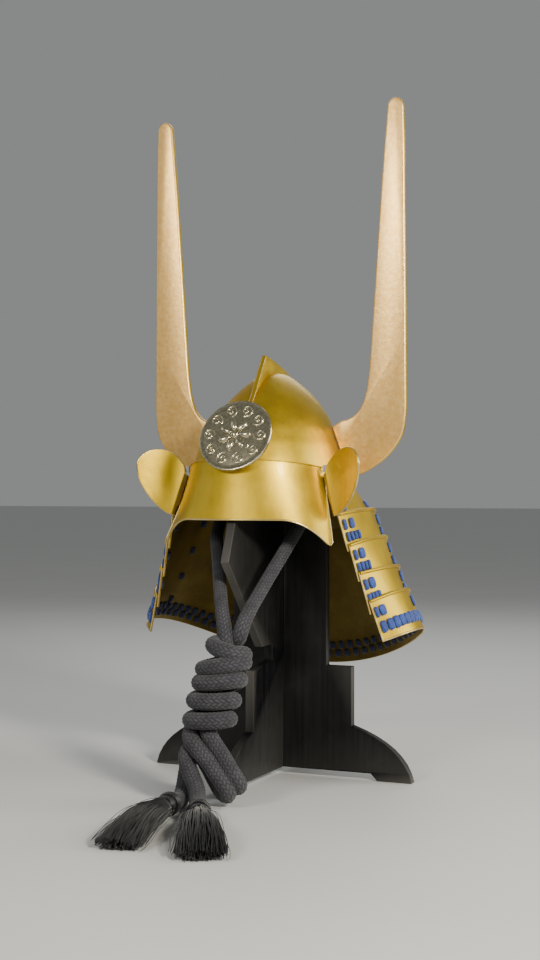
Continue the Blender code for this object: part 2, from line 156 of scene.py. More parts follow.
# %% [markdown]
# ## Pieces
# Every finished piece is one mesh whose object stays at the origin, as the CAD's own nodes do.
# Modifiers do part of the work, so a piece is "baked" once they have run: the evaluated mesh
# replaces the first one and the modifiers go.


# %% Making, shading and declaring a piece
def mesh_piece(name, points, faces, *finishes):
    """Makes a mesh object from points in millimetres and faces."""
    mesh = bpy.data.meshes.new(name)
    mesh.from_pydata([tuple(c * MM for c in p) for p in points], [], faces)
    for finish in finishes:
        mesh.materials.append(finish)
    made = bpy.data.objects.new(name, mesh)
    bpy.context.scene.collection.objects.link(made)
    return made


def bake(made):
    """Replaces an object's mesh with what its modifiers give."""
    bpy.context.view_layer.update()
    done = bpy.data.meshes.new_from_object(made.evaluated_get(bpy.context.evaluated_depsgraph_get()))
    made.modifiers.clear()
    old, made.data = made.data, done
    done.name = made.name
    bpy.data.meshes.remove(old)
    return made


def shade(made, degrees=35.0):
    """Smooth shading that stops at edges sharper than the angle."""
    bm = bmesh.new()
    bm.from_mesh(made.data)
    for face in bm.faces:
        face.smooth = True
    for edge in bm.edges:
        if len(edge.link_faces) == 2:
            edge.smooth = edge.calc_face_angle(0.0) < math.radians(degrees)
    bm.to_mesh(made.data)
    bm.free()
    return made


def face_outwards(made):
    """Recalculates a closed mesh's normals so that they point out."""
    bm = bmesh.new()
    bm.from_mesh(made.data)
    bmesh.ops.remove_doubles(bm, verts=bm.verts[:], dist=1e-6)
    bmesh.ops.recalc_face_normals(bm, faces=bm.faces[:])
    bm.to_mesh(made.data)
    bm.free()
    return made


def declare(made, slot, *nodes):
    """Says which body a piece rides on and what it stands for, by hiding those CAD nodes; slot is not used."""
    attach(made, "root")
    if nodes:
        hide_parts(*nodes)
    made.data.calc_loop_triangles()
    print(f"{made.name}: {len(made.data.loop_triangles)} triangles")
    return made


print("piece tools ready")

# %% [markdown]
# ## Camera, floor and light
# The camera stands level a little over two metres off, to the viewer's right of the helmet's centre
# line, so that the left side of the face opening is seen. The floor is plain and pale. A soft key panel
# at the front right makes the gloss on the bowl, one in front lights the horns, and wide ones fill from
# the two sides and from behind.

# %% Camera
camera_data = bpy.data.cameras.new("camera")
camera_data.lens = 55.31
camera_data.sensor_width = 36.0
camera_data.shift_y = 0.010729167
camera = bpy.data.objects.new("camera", camera_data)
camera.location = (0.8256, -1.9201, 0.400)
camera.rotation_euler = (math.radians(90), 0, math.radians(23.7))
bpy.context.scene.collection.objects.link(camera)
bpy.context.scene.camera = camera
print("camera", tuple(round(c, 3) for c in camera.location))

# %% Floor and light
floor_paint, tree, shader = new_material("pale matt floor", Roughness=0.6)
place = add(tree, "ShaderNodeTexCoord").outputs["Object"]
# faint clouds of 330 mm
clouds = add(tree, "ShaderNodeTexNoise", {"Vector": place, "Scale": 3.0, "Detail": 4.0})
dress(tree, shader, laid(tree, "#C4C5C4", "#CDCECD", clouds))
floor = mesh_piece("floor", [(-30000, -30000, 0), (30000, -30000, 0), (30000, 30000, 0), (-30000, 30000, 0)],
                   [(0, 1, 2, 3)], floor_paint)


def soft_panel(name, place, aim, size, power, tint):
    """A square area light that looks at a point."""
    panel = bpy.data.lights.new(name, "AREA")
    panel.size = size
    panel.energy = power
    panel.color = colour(tint)[:3]
    made = bpy.data.objects.new(name, panel)
    made.location = place
    made.rotation_euler = (Vector(aim) - Vector(place)).to_track_quat("-Z", "Y").to_euler()
    bpy.context.scene.collection.objects.link(made)


soft_panel("key", (1.75, -1.40, 1.15), (0, 0, 0.45), 0.32, 64, "#FFF7E8")
soft_panel("front", (-0.58, -2.05, 1.3), (0.1, 0, 0.65), 0.5, 19, "#FFFAF0")
soft_panel("left", (-1.9, -0.7, 1.3), (0, 0, 0.4), 1.3, 4, "#F2F6FF")
soft_panel("right", (2.1, 0.75, 1.0), (0, 0, 0.4), 1.3, 34, "#FFFDF6")
soft_panel("back", (-0.6, 1.8, 1.9), (0, 0, 0.4), 1.4, 16, "#FFFFFF")
world = bpy.data.worlds.new("studio air")
world.use_nodes = True
world.node_tree.nodes["Background"].inputs["Color"].default_value = colour("#B4B6B5")
world.node_tree.nodes["Background"].inputs["Strength"].default_value = 0.55
bpy.context.scene.world = world
print("five panels, one floor")

# %% [markdown]
# ## Charcoal cord
# The chin cord is a soft tubular braid of cotton about 20 mm thick. Its look comes from the braid:
# fourteen columns of slanting stitches round the cord, each stitch about 5 mm long. The stitches are
# real relief in the mesh (made further down), and the height is kept as an attribute called "braid",
# so the shader paints shade into the grooves and lightens the worn crowns. Fine fibres follow the UV map.

# %% Cord material
cord_cotton, tree, shader = new_material("braided charcoal cotton", Roughness=0.9, Sheen_Weight=0.12,
                                         Sheen_Roughness=0.5, Specular_IOR_Level=0.25)
height = add(tree, "ShaderNodeAttribute", attribute_name="braid").outputs["Fac"]
uv = add(tree, "ShaderNodeUVMap", uv_map="cord")
# threads are 0.3 mm in life and drawn 0.9 mm here so that they show
threads = add(tree, "ShaderNodeTexNoise", {"Vector": add(tree, "ShaderNodeMapping", {
    "Vector": uv, "Rotation": (0, 0, 0.7), "Scale": (1100, 300, 1)}), "Scale": 1.0, "Detail": 2.0})
# wear comes and goes over 18 mm
wear = add(tree, "ShaderNodeTexNoise", {"Vector": uv, "Scale": 55.0, "Detail": 3.0})
crown = laid(tree, "#3C3C41", "#525258", wear, 0.35, 0.7)
# painted shade: the braid's grooves are darkened to near black, below the crown colour
base = laid(tree, "#131316", crown, height, 0.15, 0.95)
fuzz = laid(tree, base, "#2C2C30", threads, 0.3, 0.75, last=0.5)
dress(tree, shader, fuzz, (threads, 0.5, 0.0006))
print("cord material ready")

# %% [markdown]
# ## The chin cord's route
# A real cord has one length and hangs from its two fixings. Both ends here leave the stand's
# shoulders inside the helmet, come forwards and down to the knot below the brow, and end in tassels
# on the floor. The left cord is the core of the knot; the right cord is wound five times round it.
# Each then makes a bight to the front right and turns back to its tassel. Down to the
# knot and along the tails they are the CAD's routes, except where the right cord enters the winding and
# its tail leaves it: there they are up to 13 mm off, so that the cord bends as a thick braid does. The
# knot is one solid in the CAD, and its turns are drawn only here.

# %% Cord routes (millimetres)
CORD_D = 20.0
CORD_LEFT = [(-66, -9.4, 400.6), (-66, -24, 400), (-65.5, -46, 380), (-63, -68, 356), (-58, -90, 335),
             (-40, -122, 305), (-18, -162, 267), (0, -192, 236), (10.4, -205, 212)]
CORD_RIGHT = [(66, -9.4, 400.6), (66, -24, 400), (64, -44, 381), (55.5, -77.5, 344), (41.7, -135.4, 287),
              (31, -184, 238), (28.5, -197, 219)]
CORD_INSIDE = [(-66, -7, 400.6), (-66, 12, 400.6), (-60, 36, 399), (-36, 53, 399), (0, 56, 400.6),
               (36, 53, 399), (60, 36, 399), (66, 12, 400.6), (66, -7, 400.6)]
TAIL_LEFT = [(-31, -220, 74), (-33, -224, 52), (-31, -238, 30), (-25.5, -257, 14.5), (-20.4, -277.3, 11.4),
             (-18.1, -292.2, 14.5), (-16.3, -303.8, 15.6)]
TAIL_RIGHT = [(-23, -245, 73), (-17, -256, 48), (0, -268, 27), (11, -287, 13.6), (20.7, -304.2, 11.6),
              (27.6, -317.6, 14.5), (33, -328, 15.6)]
CORE = [(11, -208, 196), (8, -214, 175), (2, -222, 145), (-2, -228, 115), (-2, -233, 97)]
BIGHT_LEFT = [(8, -240, 83), (22, -241, 66), (33, -242, 50), (41, -240, 37), (43, -232, 27), (35, -225, 24),
              (22, -221, 38), (8, -218, 57), (-8, -217, 76), (-22, -218, 80)]
BIGHT_RIGHT = [(-26, -226, 96), (-22, -242, 86), (-10, -251, 76), (6, -253, 62), (18, -253, 47), (28, -252, 34),
               (34, -246, 22), (27, -238, 14), (14, -234, 25), (1, -231, 44), (-11, -231, 61), (-21, -237, 72),
               (-25, -248, 64)]
# Each turn of the winding: height at its left and right ends, half width and half depth
TURNS = [((203, 191), (21, 18)), ((171, 182), (27, 22)), ((154, 160), (26.5, 22)), ((132, 134), (27, 22)),
         ((107, 110), (26.5, 22))]
KNOT_AXIS = [(19, -212, 203), (15, -217, 183), (12, -220, 165), (6, -225, 142), (0, -229, 112), (-1, -230, 96)]


def axis_at(z):
    """The middle of the knot at a height."""
    heights = [p[2] for p in KNOT_AXIS][::-1]
    return [np.interp(z, heights, [p[i] for p in KNOT_AXIS][::-1]) for i in (0, 1)]


def winding():
    """The turns round the core: across the front from left to right, and back behind, lower."""
    points = []
    for k, ((left, right), (wide, deep)) in enumerate(TURNS):
        after = TURNS[k + 1] if k + 1 < len(TURNS) else ((92, 90), (27, 20))
        for j in range(8):
            a = math.pi + j * math.pi / 4
            if j <= 4:
                z = left + (right - left) * (1 - math.cos(j * math.pi / 4)) / 2
            else:
                z = right + (after[0][0] - right) * (1 - math.cos((j - 4) * math.pi / 4)) / 2
            share = j / 8
            w = wide + (after[1][0] - wide) * share
            d = deep + (after[1][1] - deep) * share
            x, y = axis_at(z)
            points.append((x + w * math.cos(a), y + d * math.sin(a), z))
    return points


TASSELS = {"left": ((-16, -306, 15.6), (0.15, -0.989)), "right": ((34, -330, 15.6), (0.46, -0.888))}


def into_tassel(side):
    """The cord's own end runs on inside the collar and the head of the tassel."""
    start, heading = Vector(TASSELS[side][0]), Vector((*TASSELS[side][1], 0)).normalized()
    return [tuple(start + heading * d) for d in (12, 30, 55, 85, 118)]


ROUTES = {
    "cord_left": CORD_LEFT + CORE + BIGHT_LEFT + TAIL_LEFT[1:] + into_tassel("left"),
    "cord_right": CORD_RIGHT + [(21, -193, 206), (7, -190, 204)] + winding() + BIGHT_RIGHT + TAIL_RIGHT[1:]
    + into_tassel("right"),
    "cord_inside": CORD_INSIDE,
}
for name, route in ROUTES.items():
    print(name, "route of", len(route), "points")

# %% [markdown]
# ## Braiding the cord
# A tube is swept along the route on a frame that doesn't twist, and each point's radius follows
# the braid. Two families of strands run round the tube in opposite directions, and each passes over
# two of the other family and under two. Where a strand is on top, its rounded back is what is seen.


# %% Braided tube
def braid_height(u, v, columns=14, stitch=5.4):
    """Relief from 0 to 1 of a two-over, two-under braid; u is 0 to 1 round the cord, v runs along."""
    p = columns * u + v / stitch
    q = columns * u - v / stitch
    first = np.mod(np.floor(p) + np.floor(q), 4) < 2
    across = np.where(first, p - np.floor(p), q - np.floor(q))
    run = np.where(first, q, p)
    phase = np.where(first, np.floor(p) + np.floor(q), np.floor(p) + np.floor(q) - 2)
    part = (np.mod(phase, 4) + (run - np.floor(run))) / 2
    back = np.sqrt(np.clip(np.sin(math.pi * across), 0, 1))
    return back * (0.45 + 0.55 * np.sin(math.pi * np.clip(part, 0, 1)))


CORD_GIRTH = 62.8
EASING_ROUNDS = 40
END_ROUNDING = 6.0
SLIM, SWELLING = 0.9, 0.2  # girth under tension, and how much it gains when slack
SLACK_BEFORE, SLACK_OVER = 40, 60  # the change starts this far before the knot, and takes this long


def braided_cord(name, route, finish, pulled=0, around=64, step=1.2, relief=1.2):
    """Sweeps the braid along a route; returns the object, its path in metres and its length.

    The first pulled points are under tension, so the braid is slimmer there and fatter past them.
    """
    path, _ = even(smooth(route, 60 * len(route)), step)
    path, length = even(eased(path, EASING_ROUNDS), step)
    taut = even(smooth(route, 60 * len(route))[:60 * pulled + 1], step)[1] if pulled else 0.0
    tangent = np.gradient(path, axis=0)
    tangent /= np.linalg.norm(tangent, axis=1)[:, None]
    side = np.zeros_like(path)
    side[0] = np.cross(tangent[0], (0, 0, 1))
    for i in range(1, len(path)):
        side[i] = side[i - 1] - tangent[i] * np.dot(side[i - 1], tangent[i])
        side[i] /= np.linalg.norm(side[i])
    side[0] /= np.linalg.norm(side[0])
    up = np.cross(tangent, side)
    turn = np.arange(around) / around
    along = np.linspace(0, length, len(path))
    high = braid_height(turn[None, :], along[:, None])
    end = np.minimum(np.minimum(along, length - along) / END_ROUNDING, 1.0)
    slack = np.clip((along - taut + SLACK_BEFORE) / SLACK_OVER, 0, 1)
    swell = SLIM + SWELLING * slack if pulled else np.ones_like(along)
    radius = (CORD_D / 2 - relief + relief * high) * swell[:, None]
    radius = radius * np.sqrt(np.clip(1 - (1 - end) ** 2, 0.02, 1))[:, None]
    angle = 2 * math.pi * turn
    ring = path[:, None, :] + radius[:, :, None] * (side[:, None, :] * np.cos(angle)[None, :, None]
                                                    + up[:, None, :] * np.sin(angle)[None, :, None])
    rows, points = len(path), ring.reshape(-1, 3)
    faces, maps = [], []
    for i in range(rows - 1):
        for j in range(around):
            k = (j + 1) % around
            faces.append((i * around + j, i * around + k, (i + 1) * around + k, (i + 1) * around + j))
            maps += [(j, i), (j + 1, i), (j + 1, i + 1), (j, i + 1)]
    faces += [tuple(range(around))[::-1], tuple((rows - 1) * around + j for j in range(around))]
    maps += [(0, 0)] * around + [(0, rows - 1)] * around
    made = mesh_piece(name, points, faces, finish)
    layer = made.data.uv_layers.new(name="cord")
    scale = np.array([CORD_GIRTH / around, step]) * MM
    layer.data.foreach_set("uv", (np.array(maps, float) * scale).ravel())
    made.data.attributes.new("braid", "FLOAT", "POINT").data.foreach_set("value", high.ravel())
    made.data.polygons.foreach_set("use_smooth", [True] * len(faces))
    coarse, _ = even(path, 6.0)
    return made, [tuple(p * MM) for p in coarse], length * MM


cords = {}
for name, route in ROUTES.items():
    pulled = {"cord_left": len(CORD_LEFT) - 1, "cord_right": len(CORD_RIGHT) - 1}.get(name, 0)
    cords[name] = braided_cord("chin_" + name, route, cord_cotton, pulled)
    print(name, "length", round(cords[name][2], 3), "m")

# %% [markdown]
# ## Black silk and the tassels
# A tassel is a skirt of several hundred loose silk strands under a bound head. It lies on the floor,
# so its cross-section is a flattened oval that widens away from the head. Geometry Nodes copy one
# strand, then move its points: how far each strand sits from the middle, its angle round it and its
# small waves are all random numbers with a fixed seed. A solid core keeps light out of the middle.

# %% Silk material
black_silk, tree, shader = new_material("black rayon silk thread", Roughness=0.38, Sheen_Weight=0.2,
                                        Sheen_Roughness=0.35, Specular_IOR_Level=0.4)
place = add(tree, "ShaderNodeTexCoord").outputs["Object"]
# locks of thread 2 to 4 mm thick and 45 mm long
locks = add(tree, "ShaderNodeTexNoise", {"Vector": add(tree, "ShaderNodeMapping", {
    "Vector": place, "Scale": (420, 22, 260)}), "Scale": 1.0, "Detail": 3.0})
dress(tree, shader, laid(tree, "#08080A", "#26262B", locks, 0.4, 0.68), (locks, 0.4, 0.0005))

# %% Starting and running a tree

def new_tree(name, **inputs):
    """Starts a Geometry Nodes tree with a geometry output and named inputs."""
    made = bpy.data.node_groups.new(name, "GeometryNodeTree")
    made.interface.new_socket("Geometry", in_out="INPUT", socket_type="NodeSocketGeometry")
    made.interface.new_socket("Geometry", in_out="OUTPUT", socket_type="NodeSocketGeometry")
    kinds = {"int": "NodeSocketInt", "float": "NodeSocketFloat", "Vector": "NodeSocketVector",
             "material": "NodeSocketMaterial", "object": "NodeSocketObject"}
    for title, kind in inputs.items():
        made.interface.new_socket(title.replace("_", " "), in_out="INPUT", socket_type=kinds[kind])
    return made, made.nodes.new("NodeGroupInput"), made.nodes.new("NodeGroupOutput")


def grow(name, tree, mesh, **values):
    """Runs a Geometry Nodes tree on a new object with its inputs set, and keeps the plain mesh."""
    made = bpy.data.objects.new(name, mesh or bpy.data.meshes.new(name + " seed"))
    bpy.context.scene.collection.objects.link(made)
    modifier = made.modifiers.new("nodes", "NODES")
    modifier.node_group = tree
    sockets = {s.name: s.identifier for s in tree.interface.items_tree if s.in_out == "INPUT"}
    for title, value in values.items():
        modifier[sockets[title.replace("_", " ")]] = value
    made = bake(made)
    print(name, "grown:", len(made.data.polygons), "faces")
    return made


# %% Strand draws and arithmetic
NECK = 0.0122  # metres: the skirt's half width where it leaves the collar
# One random number for each strand: its name, lowest and highest value. The seed is its row.
DRAWS = [("chance", 0.0, 1.0), ("angle", 0.0, 2 * math.pi), ("bends", 3.0, 11.0), ("phase", 0.0, 6.28),
         ("looseness", 0.0006, 0.0032), ("own length", 0.86, 1.0)]
# Each row is one Math node: its name, what it does, and the numbers or earlier rows it works on
ARITHMETIC = [
    # how far out from the middle a strand sits, from 0 to 1
    ("room", "SUBTRACT", "Most Reach", "Least Reach"), ("evened", "SQRT", "chance"),
    ("extra", "MULTIPLY", "room", "evened"), ("reach", "ADD", "Least Reach", "extra"),
    # the skirt's half width grows from the collar's radius
    ("opening", "POWER", "down", 0.62), ("growth", "SUBTRACT", "Spread", NECK),
    ("widening", "MULTIPLY", "opening", "growth"), ("half width", "ADD", NECK, "widening"),
    # its half height swells and then sinks towards the floor, so the skirt closes at its end
    ("arc", "MULTIPLY", "down", 2.75), ("arch", "SINE", "arc"), ("swell", "MULTIPLY", "arch", 0.0052),
    ("late", "POWER", "down", 3.0), ("loss", "MULTIPLY", "late", 0.6), ("kept", "SUBTRACT", 1.0, "loss"),
    ("body", "MULTIPLY", 0.0112, "kept"), ("half height", "ADD", "body", "swell"),
    # each strand has waves of its own, which grow towards its end
    ("travel", "MULTIPLY", "down", "bends"), ("turned", "ADD", "travel", "phase"), ("wave", "SINE", "turned"),
    ("loose wave", "MULTIPLY", "wave", "looseness"), ("sway", "MULTIPLY", "loose wave", "down"),
    # along the floor, across it and up
    ("full length", "MULTIPLY", "down", "Length"), ("forward", "MULTIPLY", "full length", "own length"),
    ("wide", "MULTIPLY", "half width", "reach"), ("cosine", "COSINE", "angle"),
    ("aside", "MULTIPLY", "wide", "cosine"), ("across", "ADD", "sway", "aside"),
    ("tall", "MULTIPLY", "half height", "reach"), ("sine", "SINE", "angle"),
    ("rise", "MULTIPLY", "tall", "sine"), ("near", "SUBTRACT", 1.0, "down"),
    ("raised", "MULTIPLY", 0.0044, "near"), ("middle", "ADD", "half height", "raised"),
    ("flutter", "MULTIPLY", "sway", 0.4),
    ("level", "ADD", "middle", "flutter"), ("height", "ADD", "rise", "level"),
    ("lift", "MAXIMUM", "height", 0.0012),
]
print(len(DRAWS), "draws and", len(ARITHMETIC), "steps for each strand")

# %% Tassel tree
t, given, result = new_tree("tassel strands", Count="int", Length="float", Spread="float", Least_Reach="float",
                            Most_Reach="float", Strand_Radius="float", Place="Vector", Turn="Vector",
                            Finish="material")
tassel_tree = t
line = add(t, "GeometryNodeCurvePrimitiveLine", {"End": (1, 0, 0)})
strand = add(t, "GeometryNodeResampleCurve", {"Curve": line, "Count": 15})
many = add(t, "GeometryNodeDuplicateElements", {"Geometry": strand, "Amount": given.outputs["Count"]},
           domain="SPLINE")
which = add(t, "GeometryNodeCurveOfPoint").outputs["Curve Index"]
known = {title: given.outputs[title] for title in ("Length", "Spread", "Least Reach", "Most Reach")}
known["down"] = add(t, "GeometryNodeSplineParameter").outputs["Factor"]
for seed, (title, low, high) in enumerate(DRAWS, 1):
    known[title] = add(t, "FunctionNodeRandomValue", {2: low, 3: high, "ID": which, "Seed": seed},
                       data_type="FLOAT").outputs[1]
for title, operation, *values in ARITHMETIC:
    filled = {k: known.get(value, value) for k, value in enumerate(values)}
    known[title] = add(t, "ShaderNodeMath", filled, operation=operation)
spot = add(t, "ShaderNodeCombineXYZ", {0: known["forward"], 1: known["across"], 2: known["lift"]})
moved = add(t, "GeometryNodeSetPosition", {"Geometry": many, "Position": spot})
profile = add(t, "GeometryNodeCurvePrimitiveCircle", {"Resolution": 3, "Radius": 1.0})
solid = add(t, "GeometryNodeCurveToMesh", {"Curve": moved, "Profile Curve": profile, "Fill Caps": True,
                                           "Scale": given.outputs["Strand Radius"]})
finish_tree(t, given, result, solid)
print("tassel tree has", len(t.nodes), "nodes")

# %% [markdown]
# ## Collars
# Each tassel's head is bound with thread: a fat band, a short bare neck and a thinner band. The body
# is turned like a bead on a lathe, and the thread is a spiral swept over it by Geometry Nodes.


# %% Turning along a line
def turned(name, start, heading, profile, finish, sides=40):
    """Turns a profile of (distance along, radius) about a line; radius 0 closes an end."""
    start, heading = Vector(start), Vector(heading).normalized()
    side = heading.cross(Vector((0, 0, 1))).normalized()
    up = side.cross(heading)
    points, rings, faces = [], [], []
    for along, radius in profile:
        ring = []
        for k in range(1 if radius == 0 else sides):
            a = 2 * math.pi * k / sides
            ring.append(len(points))
            points.append(tuple(start + heading * along + (side * math.cos(a) + up * math.sin(a)) * radius))
        rings.append(ring)
    for one, two in zip(rings, rings[1:]):
        for k in range(sides):
            j = (k + 1) % sides
            faces.append(tuple(dict.fromkeys((one[k % len(one)], two[k % len(two)],
                                              two[j % len(two)], one[j % len(one)]))))
    return face_outwards(mesh_piece(name, points, faces, finish))


# %% Thread winding tree
t, given, result = new_tree("thread winding", Turns="float", Radius="float", Width="float", Belly="float",
                            Thread="float", Place="Vector", Turn="Vector", Finish="material")
winding_tree = t
spiral = add(t, "GeometryNodeCurveSpiral", {"Resolution": 30, "Rotations": given.outputs["Turns"],
                                            "Start Radius": given.outputs["Radius"],
                                            "End Radius": given.outputs["Radius"],
                                            "Height": given.outputs["Width"]})
place = add(t, "GeometryNodeInputPosition")
part = add(t, "GeometryNodeSplineParameter").outputs["Factor"]
# the band is fattest half way along: its radius is multiplied by 1 + belly x sin(pi x part)
half_turn = add(t, "ShaderNodeMath", {0: part, 1: math.pi}, operation="MULTIPLY")
hump = add(t, "ShaderNodeMath", {0: half_turn}, operation="SINE")
gain = add(t, "ShaderNodeMath", {0: given.outputs["Belly"], 1: hump}, operation="MULTIPLY")
belly = add(t, "ShaderNodeMath", {0: 1.0, 1: gain}, operation="ADD")
factor = add(t, "ShaderNodeCombineXYZ", {0: belly, 1: belly, 2: 1.0})
fat = add(t, "ShaderNodeVectorMath", {0: place, 1: factor}, operation="MULTIPLY")
bulged = add(t, "GeometryNodeSetPosition", {"Geometry": spiral, "Position": fat})
ring = add(t, "GeometryNodeCurvePrimitiveCircle", {"Resolution": 6, "Radius": given.outputs["Thread"]})
swept = add(t, "GeometryNodeCurveToMesh", {"Curve": bulged, "Profile Curve": ring, "Fill Caps": True})
finish_tree(t, given, result, swept)
print("winding tree has", len(t.nodes), "nodes")

# %% Tassels and collars
COLLAR = [(0.4, 0), (0.4, 10), (2, 12.2), (5, 13.4), (9, 13.4), (12, 12), (14, 10.8), (19, 10.6), (21, 11.6),
          (24, 12.2), (27, 11.8), (30, 11), (34, 10.5), (34, 0)]
CORE_SKIRT = [(33, 0), (33.5, 9), (42, 11), (60, 12), (85, 11.5), (105, 9), (125, 6), (138, 3), (142, 0)]
CORE_GAIN, CORE_FROM, CORE_OVER = 0.85, 0.04, 0.08  # how much wider, and from where over what length
CORE_GAP, CORE_SINK = 0.0018, 0.002  # metres above the floor, and down from its own line
# Two bands: start along the collar and width in millimetres, turns, belly, and radius in metres
BANDS = {"head_band": (1.2, 11.5, 7, 0.12, 0.0126), "neck_band": (20.5, 8.5, 5, 0.08, 0.0117)}
THREAD = 0.00092  # the thread's radius in metres
SKIRT_START, SKIRT_LENGTH = 33.3, 156.0
# Two lots of strands: count, spread in metres, least and most reach, and a strand's radius in metres
STRANDS = {"tassel_skirt": (560, 0.0295, 0.1, 1.0, 0.00058), "stray_strands": (16, 0.031, 1.02, 1.2, 0.0004)}
on_cord = {"left": [], "right": []}
for side, (start, heading) in TASSELS.items():
    line = Vector((*heading, 0)).normalized()
    yaw = math.atan2(line.y, line.x)
    body = shade(turned(f"collar_core_{side}", start, (*heading, 0), COLLAR, black_silk))
    declare(body, "black_silk", f"tassel_collar_{side}")
    lay = Euler((0, math.pi / 2, yaw)).to_matrix().to_euler()
    for band, (along, wide, turns, belly, radius) in BANDS.items():
        thread = grow(f"{band}_{side}", winding_tree, None, Turns=float(turns), Radius=radius,
                      Width=wide * MM, Belly=belly, Thread=THREAD,
                      Place=tuple((Vector(start) + line * along) * MM), Turn=tuple(lay), Finish=black_silk)
        on_cord[side].append(declare(shade(thread, 80), "black_silk"))
    base = (Vector(start) + line * SKIRT_START) * MM
    base.z = 0
    lots = []
    for lot, (count, spread, least, most, radius) in STRANDS.items():
        grown = grow(f"{lot}_{side}", tassel_tree, None, Count=count, Length=SKIRT_LENGTH * MM, Spread=spread,
                     Least_Reach=least, Most_Reach=most, Strand_Radius=radius, Place=tuple(base),
                     Turn=(0.0, 0.0, yaw), Finish=black_silk)
        stands_for = [f"tassel_{side}"] if lot == "tassel_skirt" else []
        lots.append(declare(shade(grown, 80), "black_silk", *stands_for))
    core = turned(f"tassel_core_{side}", start, (*heading, 0), CORE_SKIRT, black_silk, 24)
    # the core widens towards its end as the skirt does, and is pressed against the floor
    for vertex in core.data.vertices:
        along = (vertex.co - Vector(start) * MM).dot(line)
        middle = Vector(start) * MM + line * along
        out = vertex.co - middle
        widen = 1.0 + CORE_GAIN * min(1.0, max(0.0, (along - CORE_FROM) / CORE_OVER))
        flat = out - Vector((0, 0, out.z))
        vertex.co = middle + flat * widen + Vector((0, 0, out.z))
        vertex.co.z = max(CORE_GAP, vertex.co.z - CORE_SINK)
    declare(shade(core), "black_silk")
    on_cord[side] += [body, *lots, core]

KNOT_NODES = {"cord_left": ["cord_left", "cord_tail_left"],
              "cord_right": ["cord_right", "cord_tail_right", "cord_knot"], "cord_inside": ["cord_inside"]}
for name, (made, path, length) in cords.items():
    declare(made, "charcoal_cord", *KNOT_NODES[name])
    side = name.split("_")[1]
print("cords declared")

# %% [markdown]
# ## Gold lacquer
# The plates are iron, sprayed with a metallic gold lacquer that is slightly uneven: broad dark and
# light patches, a fine orange-peel skin, and a soft satin gloss rather than a mirror. Rolled edges are
# painted a paler gold, as a painted highlight. Inside, the plates are the same gold painted darker, as
# painted shade, with a little overspray.

# %% Gold, edge and inner coat
gold_lacquer, tree, shader = new_material("satin gold lacquer on iron", Metallic=0.92, Roughness=0.42,
                                          Coat_Weight=0.12, Coat_Roughness=0.1)
place = add(tree, "ShaderNodeTexCoord").outputs["Object"]
# dark and light patches of 60 mm, spray streaks 7 mm wide, metal flakes drawn 1.1 mm so that they show
patches = add(tree, "ShaderNodeTexNoise", {"Vector": place, "Scale": 16.0, "Detail": 3.0})
streaks = add(tree, "ShaderNodeTexNoise", {"Vector": add(tree, "ShaderNodeMapping", {
    "Vector": place, "Scale": (150, 150, 18)}), "Scale": 1.0, "Detail": 2.0})
flakes = add(tree, "ShaderNodeTexNoise", {"Vector": place, "Scale": 900.0, "Detail": 2.0})
base = laid(tree, "#BA9A18", "#CCAC26", patches, 0.35, 0.65)
base = laid(tree, base, "#AF8C1C", streaks, 0.45, 0.75, last=0.35)
base = laid(tree, base, "#E6C650", flakes, 0.5, 0.8, last=0.3)
# orange peel of 2.4 mm
peel = add(tree, "ShaderNodeTexNoise", {"Vector": place, "Scale": 420.0, "Detail": 2.0})
dress(tree, shader, base, (patches, 0.25, 0.004), (peel, 0.12, 0.0005), rough=(patches, 0.38, 0.48))

# painted highlight: the rolled rims are painted a paler gold than the plates
highlight_edge_gold, tree, shader = new_material("rubbed pale gold edge", Metallic=0.85, Roughness=0.28)
place = add(tree, "ShaderNodeTexCoord").outputs["Object"]
# the painted highlight varies over 17 mm
highlight_variation = add(tree, "ShaderNodeTexNoise", {"Vector": place, "Scale": 60.0, "Detail": 3.0})
dress(tree, shader, laid(tree, "#CDB066", "#E4CE94", highlight_variation, 0.35, 0.7))

# painted shade: the plates' inner faces are the same gold, painted darker
shaded_inner_gold, tree, shader = new_material("dark bronze inner lacquer", Metallic=0.6, Roughness=0.5)
place = add(tree, "ShaderNodeTexCoord").outputs["Object"]
# clouds of 45 mm and 2 mm specks of overspray
clouds = add(tree, "ShaderNodeTexNoise", {"Vector": place, "Scale": 22.0, "Detail": 4.0})
specks = add(tree, "ShaderNodeTexNoise", {"Vector": place, "Scale": 500.0, "Detail": 1.0})
base = laid(tree, "#6F5B22", "#8C7632", clouds, 0.35, 0.7)
base = laid(tree, base, "#A8914A", specks, 0.62, 0.8, last=0.5)
dress(tree, shader, base, (clouds, 0.15, 0.002))
print("gold finishes ready")

# %% [markdown]
# ## The bowl and its keel
# The bowl is raised from two halves into the shape of a peach. Level by level it is an oval, so a short
# table of ovals gives its whole form: half width, half length and centre at each height. A flat keel
# plate stands over the joint of the halves, tallest at the front, with crisp edges painted paler, as a painted
# highlight.

# %% Bowl
SHEET = 2.0
BOWL_LEVELS = [(405, 103.5, 119, -42), (428, 102.7, 118, -42), (457, 95.5, 112.5, -38), (473, 89.5, 107.5, -36),
               (490, 82.5, 100, -33), (507, 73, 86.5, -28), (532, 52.3, 68, -23), (552, 30, 44, -22.5),
               (561, 16, 25, -22), (565, 0, 0, -21.5)]


def walls(made, thickness=SHEET, inner=1):
    """Thickens an outward-facing sheet inwards; inner is the step to the inner side's material."""
    plate = made.modifiers.new("wall", "SOLIDIFY")
    plate.thickness = thickness * MM
    plate.offset = -1.0
    plate.use_even_offset = True
    plate.material_offset = inner
    return made


def grid(rows, wrap=False):
    """Points and faces of a sheet from rows of points that run top to bottom."""
    across = len(rows[0])
    points = [p for row in rows for p in row]
    faces = [(i * across + j, (i + 1) * across + j, (i + 1) * across + (j + 1) % across,
              i * across + (j + 1) % across)
             for i in range(len(rows) - 1) for j in range(across if wrap else across - 1)]
    return points, faces


